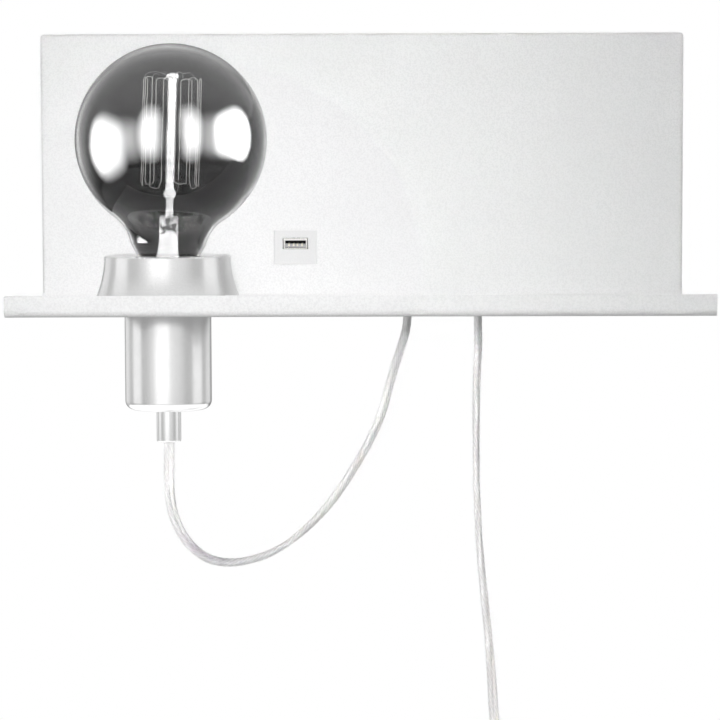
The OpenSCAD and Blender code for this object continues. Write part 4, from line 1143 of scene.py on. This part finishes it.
def make_plug():
    """A flat two pin plug: a rounded body that draws in to a ribbed sleeve on the lead."""
    middle = (PLUG.x * MM, PLUG.y * MM, 0)
    deselect_all()
    bpy.ops.mesh.primitive_plane_add(size=1)
    body = named("plug_moulding")
    edit_all()
    bpy.ops.transform.resize(value=(24.4 * MM, 12.1 * MM, 1))
    bpy.ops.transform.translate(value=(PLUG.x * MM, PLUG.y * MM, PLUG_FACE * MM))
    bpy.ops.mesh.bevel(offset=3.6 * MM, segments=6, affect="VERTICES")
    bpy.ops.mesh.select_all(action="SELECT")
    stages = [
        (0.8, 1.045, 1.08), (0.9, 1.018, 1.045), (8, 1.0, 1.0), (9, 1.0, 1.0),
        (3.5, 0.94, 0.985), (4, 0.8, 0.94), (4, 0.7, 0.88), (3, 0.78, 0.88),
        (2.8, 0.93, 0.97),
    ]
    for rise, wide, deep in stages:
        draw_on(0, 0, rise)
        bpy.ops.transform.resize(value=(wide, deep, 1), center_override=middle)
    face_outwards()
    smooth(body, 50)
    sleeve = [(2.7, -494.5), (4.5, -494.5), (4.4, -493.4)]
    z = -493.2
    while z < -487.2:
        r = 4.3 - 0.16 * (z + 493.2)
        sleeve += [(r, z), (r, z + 0.9), (r - 0.6, z + 1.05), (r - 0.6, z + 1.45)]
        z += 1.6
    sleeve += [(3.4, -486.4), (3.2, -486), (2.7, -486), (2.7, -494.5)]
    neck = smooth(turned("plug_sleeve", sleeve, PLUG, 48), 40)
    body = dress(joined("plug_moulding", [body, neck]), "plug_body")
    left = PLUG - Vector((PIN_APART / 2, 0, 0))
    tip = arc(0, -545, 2, -90, 0, 8)
    outline = tip + [(2, -538.2), (1.85, -538), (1.5, -538), (1.5, -524), (0, -524)]
    skin = [(1.6, -538), (1.9, -537.8), (1.9, -527.8), (1.6, -527.8), (1.6, -538)]
    pins = repeated(turned("pin", outline, left, 32), [shift(PIN_APART)])
    skins = repeated(turned("pin_skin", skin, left, 32), [shift(PIN_APART)])
    pins = dress(smooth(joined("plug_pin_pair", pins), 50), "plug_pins")
    sleeves = dress(smooth(joined("plug_pin_sleeves", skins), 50), like="plug_body")
    return [body, pins, sleeves]


# ---- Studio ----

FLOOR_AT = (0, -0.05, -0.6)


def ramp(tree, value, stops):
    """A grey scale laid over a value from 0 to 1, from stops of (place, grey)."""
    made = add_node(tree, "ValToRGB", {"Fac": value})
    scale = made.color_ramp
    scale.interpolation = "EASE"
    for place, shade in stops[1:-1]:
        scale.elements.new(place).color = (*grey(shade), 1)
    for end, (place, shade) in ((0, stops[0]), (-1, stops[-1])):
        scale.elements[end].position = place
        scale.elements[end].color = (*grey(shade), 1)
    return made.outputs["Color"]


def shader_mix(tree, share, first, second):
    return add_node(tree, "MixShader", {"Fac": share, 1: first, 2: second}).outputs["Shader"]


def make_world():
    """White behind the lamp, and for gloss a studio: pale, with grey and white uprights."""
    world = bpy.data.worlds.new("plain_studio")
    SCENE.world = world
    world.use_nodes = True
    world.cycles.sampling_method = "NONE"
    tree = world.node_tree
    tree.nodes.clear()
    way = parted(tree, coordinates(tree, "Generated"))
    front = math_node(tree, "MULTIPLY", way["Y"], -1)
    around = math_node(tree, "ARCTAN2", way["X"], front)
    side = [
        (0, 0.3), (26, 0.34), (34, 0.85), (56, 0.8), (62, 0.56), (75, 0.56), (79, 1.0),
        (105, 1.0), (110, 0.54), (126, 0.62), (140, 0.8), (158, 1.3), (182, 1.3),
        (192, 0.9), (212, 0.8), (222, 0.7), (232, 0.56), (250, 0.56), (255, 1.0),
        (282, 1.0), (287, 0.54), (300, 0.54), (306, 0.8), (326, 0.85), (334, 0.34), (360, 0.3),
    ]
    share = math_node(tree, "ADD", math_node(tree, "DIVIDE", around, 2 * math.pi), 0.5)
    uprights = ramp(tree, share, [(degrees / 360, shade) for degrees, shade in side])
    level = mixed(tree, ranged(tree, way["Z"], 0.2, 0.6), uprights, 0.72)
    height = math_node(tree, "ADD", math_node(tree, "MULTIPLY", way["Z"], 0.5), 0.5)
    rise = ramp(tree, height, [(0, 0.04), (0.24, 0.06), (0.46, 1), (0.62, 0.95), (1, 1.25)])
    level = math_node(tree, "MULTIPLY", level, rise)
    white = (1, 1, 1, 1)
    studio = add_node(tree, "Background", {"Color": level}).outputs[0]
    plain = add_node(tree, "Background", {"Color": white, "Strength": 0.2}).outputs[0]
    backdrop = add_node(tree, "Background", {"Color": white}).outputs[0]
    rays = add_node(tree, "LightPath", {}).outputs
    shiny = math_node(tree, "MAXIMUM", rays["Is Glossy Ray"], rays["Is Transmission Ray"])
    lit = shader_mix(tree, shiny, plain, studio)
    shown = shader_mix(tree, rays["Is Camera Ray"], lit, backdrop)
    add_node(tree, "OutputWorld", {"Surface": shown})


def feather(lamp, core):
    """Fades a soft box from its core out to its rim, as its cloth does."""
    lamp.use_nodes = True
    tree = lamp.node_tree
    parts = parted(tree, add_node(tree, "NewGeometry", {}).outputs["Parametric"])
    reach = 0
    for way in ("X", "Y"):
        off = math_node(tree, "SUBTRACT", parts[way], 0.5)
        off = math_node(tree, "POWER", math_node(tree, "ABSOLUTE", off), 3)
        reach = math_node(tree, "ADD", off, reach)
    reach = math_node(tree, "MULTIPLY", math_node(tree, "POWER", reach, 1 / 3), 2)
    glow = ranged(tree, reach, core, 1, 1, 0)
    tree.links.new(glow, tree.nodes["Emission"].inputs["Strength"])


def link_light(box, pieces, state):
    """Says which pieces a lamp lights alone, or which ones it leaves out."""
    linked = bpy.data.collections.new(box.name + "_lights")
    for piece in pieces:
        linked.objects.link(piece)
    for entry in linked.collection_objects:
        entry.light_linking.link_state = state
    box.light_linking.receiver_collection = linked


def soft_lamp(name, place, target, width, height, power,
              only=None, but=None, core=None, spread=180):
    """A soft box that faces a target. It can light some pieces only, or all but some."""
    lamp = bpy.data.lights.new(name, "AREA")
    lamp.shape = "RECTANGLE"
    lamp.size = width
    lamp.size_y = height
    lamp.energy = power
    lamp.spread = math.radians(spread)
    box = bpy.data.objects.new(name, lamp)
    SCENE.collection.objects.link(box)
    box.location = place
    aim = Vector(target) - Vector(place)
    box.rotation_euler = aim.to_track_quat("-Z", "Y").to_euler()
    box.visible_camera = False
    box.visible_glossy = core is not None
    box.visible_transmission = False
    if core is not None:
        feather(lamp, core)
    if only:
        link_light(box, only, "INCLUDE")
    if but:
        link_light(box, but, "EXCLUDE")


def make_lamps(glass, wires, leads, metal):
    """The studio's lamps: some light all, and some only the glass, wires, leads or metal."""
    globe = Vector((HOLDER.x * MM, HOLDER.y * MM, -0.02))

    def round_globe(azimuth, rise, distance):
        """A place round the globe, by degrees to the right of straight ahead."""
        a = math.radians(azimuth)
        return globe + Vector((math.sin(a) * distance, -math.cos(a) * distance, rise))

    soft_lamp("top_front", (0.1, -2.1, 1.0), (0, -0.05, -0.05), 1.4, 1.0, 11)
    soft_lamp("key", (0.12, -3.6, 0.42), (-0.08, 0, -0.09), 0.45, 0.45, 0.62, spread=13.6)
    soft_lamp("fill_rear", (0.2, 1.8, -0.05), (0, 0, -0.1), 1.4, 1.0, 12, but=leads)
    for name, place, width, height, power, core in (
        ("bulb_left", globe + Vector((-1.17, -0.2, -0.12)), 1.5, 1.5, 300, 0.2),
        ("bulb_right", globe + Vector((1.19, -0.12, 0.1)), 1.5, 1.2, 260, 0.5),
        ("bulb_front_left", round_globe(-21, 0.2, 1.5), 1.0, 2.3, 240, 0.1),
        ("bulb_front_right", round_globe(29, 0.2, 1.5), 0.95, 2.3, 230, 0.1),
        ("bulb_glow_left", round_globe(-50, 0, 1.3), 1.3, 1.4, 85, 0),
        ("bulb_glow_right", round_globe(58, 0.1, 1.3), 1.3, 1.4, 85, 0),
    ):
        soft_lamp(name, place, globe, width, height, power, only=glass, core=core)
    soft_lamp("wires", (-0.9, -1.2, 0.1), globe, 0.6, 0.6, 40, only=wires)
    soft_lamp("leads", (-1.6, -2.0, -0.3), (0, -0.05, -0.25), 0.3, 0.3, 23, only=leads)
    soft_lamp("leads_rear", (0.02, 2.4, -0.25), (0.02, 0, -0.25), 0.3, 0.3, 30, only=leads)
    for side in (-1, 1):
        place = (side * 2.2, 0.2, -0.1)
        soft_lamp(f"fill_side_{side}", place, (0, 0, -0.1), 1, 1, 4, but=leads)
    foot = Vector((HOLDER.x * MM, HOLDER.y * MM, -0.15))
    under = foot + Vector((0, 0, -0.9))
    soft_lamp("below", under, foot, 5.0, 5.0, 92, only=metal, core=0.8)


def make_floor():
    """A round pale floor whose rim fades into the white behind."""
    deselect_all()
    bpy.ops.mesh.primitive_circle_add(
        vertices=96, radius=1.12, fill_type="NGON", location=FLOOR_AT,
    )
    bpy.ops.object.transform_apply(location=True, rotation=True, scale=True)
    floor = named("pale_floor")
    constants = {"Roughness": 0.8, "Specular IOR Level": 0.0}
    finish, tree, shader = new_finish("pale_floor", constants)
    painted(tree, shader, mixed(tree, noise(tree, object_space(tree), 400), 0.9, 0.93))
    reach = add_node(tree, "VectorMath", {
        0: coordinates(tree, "Object"), 1: FLOOR_AT,
    }, operation="DISTANCE").outputs["Value"]
    pale = math_node(tree, "MAXIMUM", ranged(tree, reach, 0.35, 1.1), 0.62)
    camera_ray = add_node(tree, "LightPath", {}).outputs["Is Camera Ray"]
    seen = math_node(tree, "MULTIPLY", pale, camera_ray)
    white = add_node(tree, "Emission", {}).outputs["Emission"]
    above = shader_mix(tree, seen, shader.outputs["BSDF"], white)
    clear = add_node(tree, "BsdfTransparent", {}).outputs["BSDF"]
    from_below = add_node(tree, "NewGeometry", {}).outputs["Backfacing"]
    surface = shader_mix(tree, from_below, above, clear)
    tree.links.new(surface, tree.nodes["Material Output"].inputs["Surface"])
    floor.data.materials.append(finish)
    floor.visible_glossy = False


# ---- The whole lamp ----

SCENE.view_settings.view_transform = "Standard"
make_camera()
dress_nodes()
lamp_lead = make_lamp_lead()
mains, mains_path = make_mains_lead()
make_sheet_metal()
metal_parts = [make_collar(), make_barrel(), make_cord_grip()]
eased("socket_insert", "porcelain_insert", 0.35, 3)
glass_parts = [make_glass(), make_stem()]
wire_parts = [make_filament(), make_supports()]
make_cap()
make_port()
make_relief("lamp_lead_relief", LAMP_EXIT, -90, "lamp_relief")
make_relief("mains_lead_relief", MAINS_EXIT, -85, "mains_relief")
on_mains = make_switch() + [make_tie()] + make_plug()
make_world()
make_lamps(glass_parts, wire_parts, [lamp_lead, mains], metal_parts)
make_floor()
deselect_all()
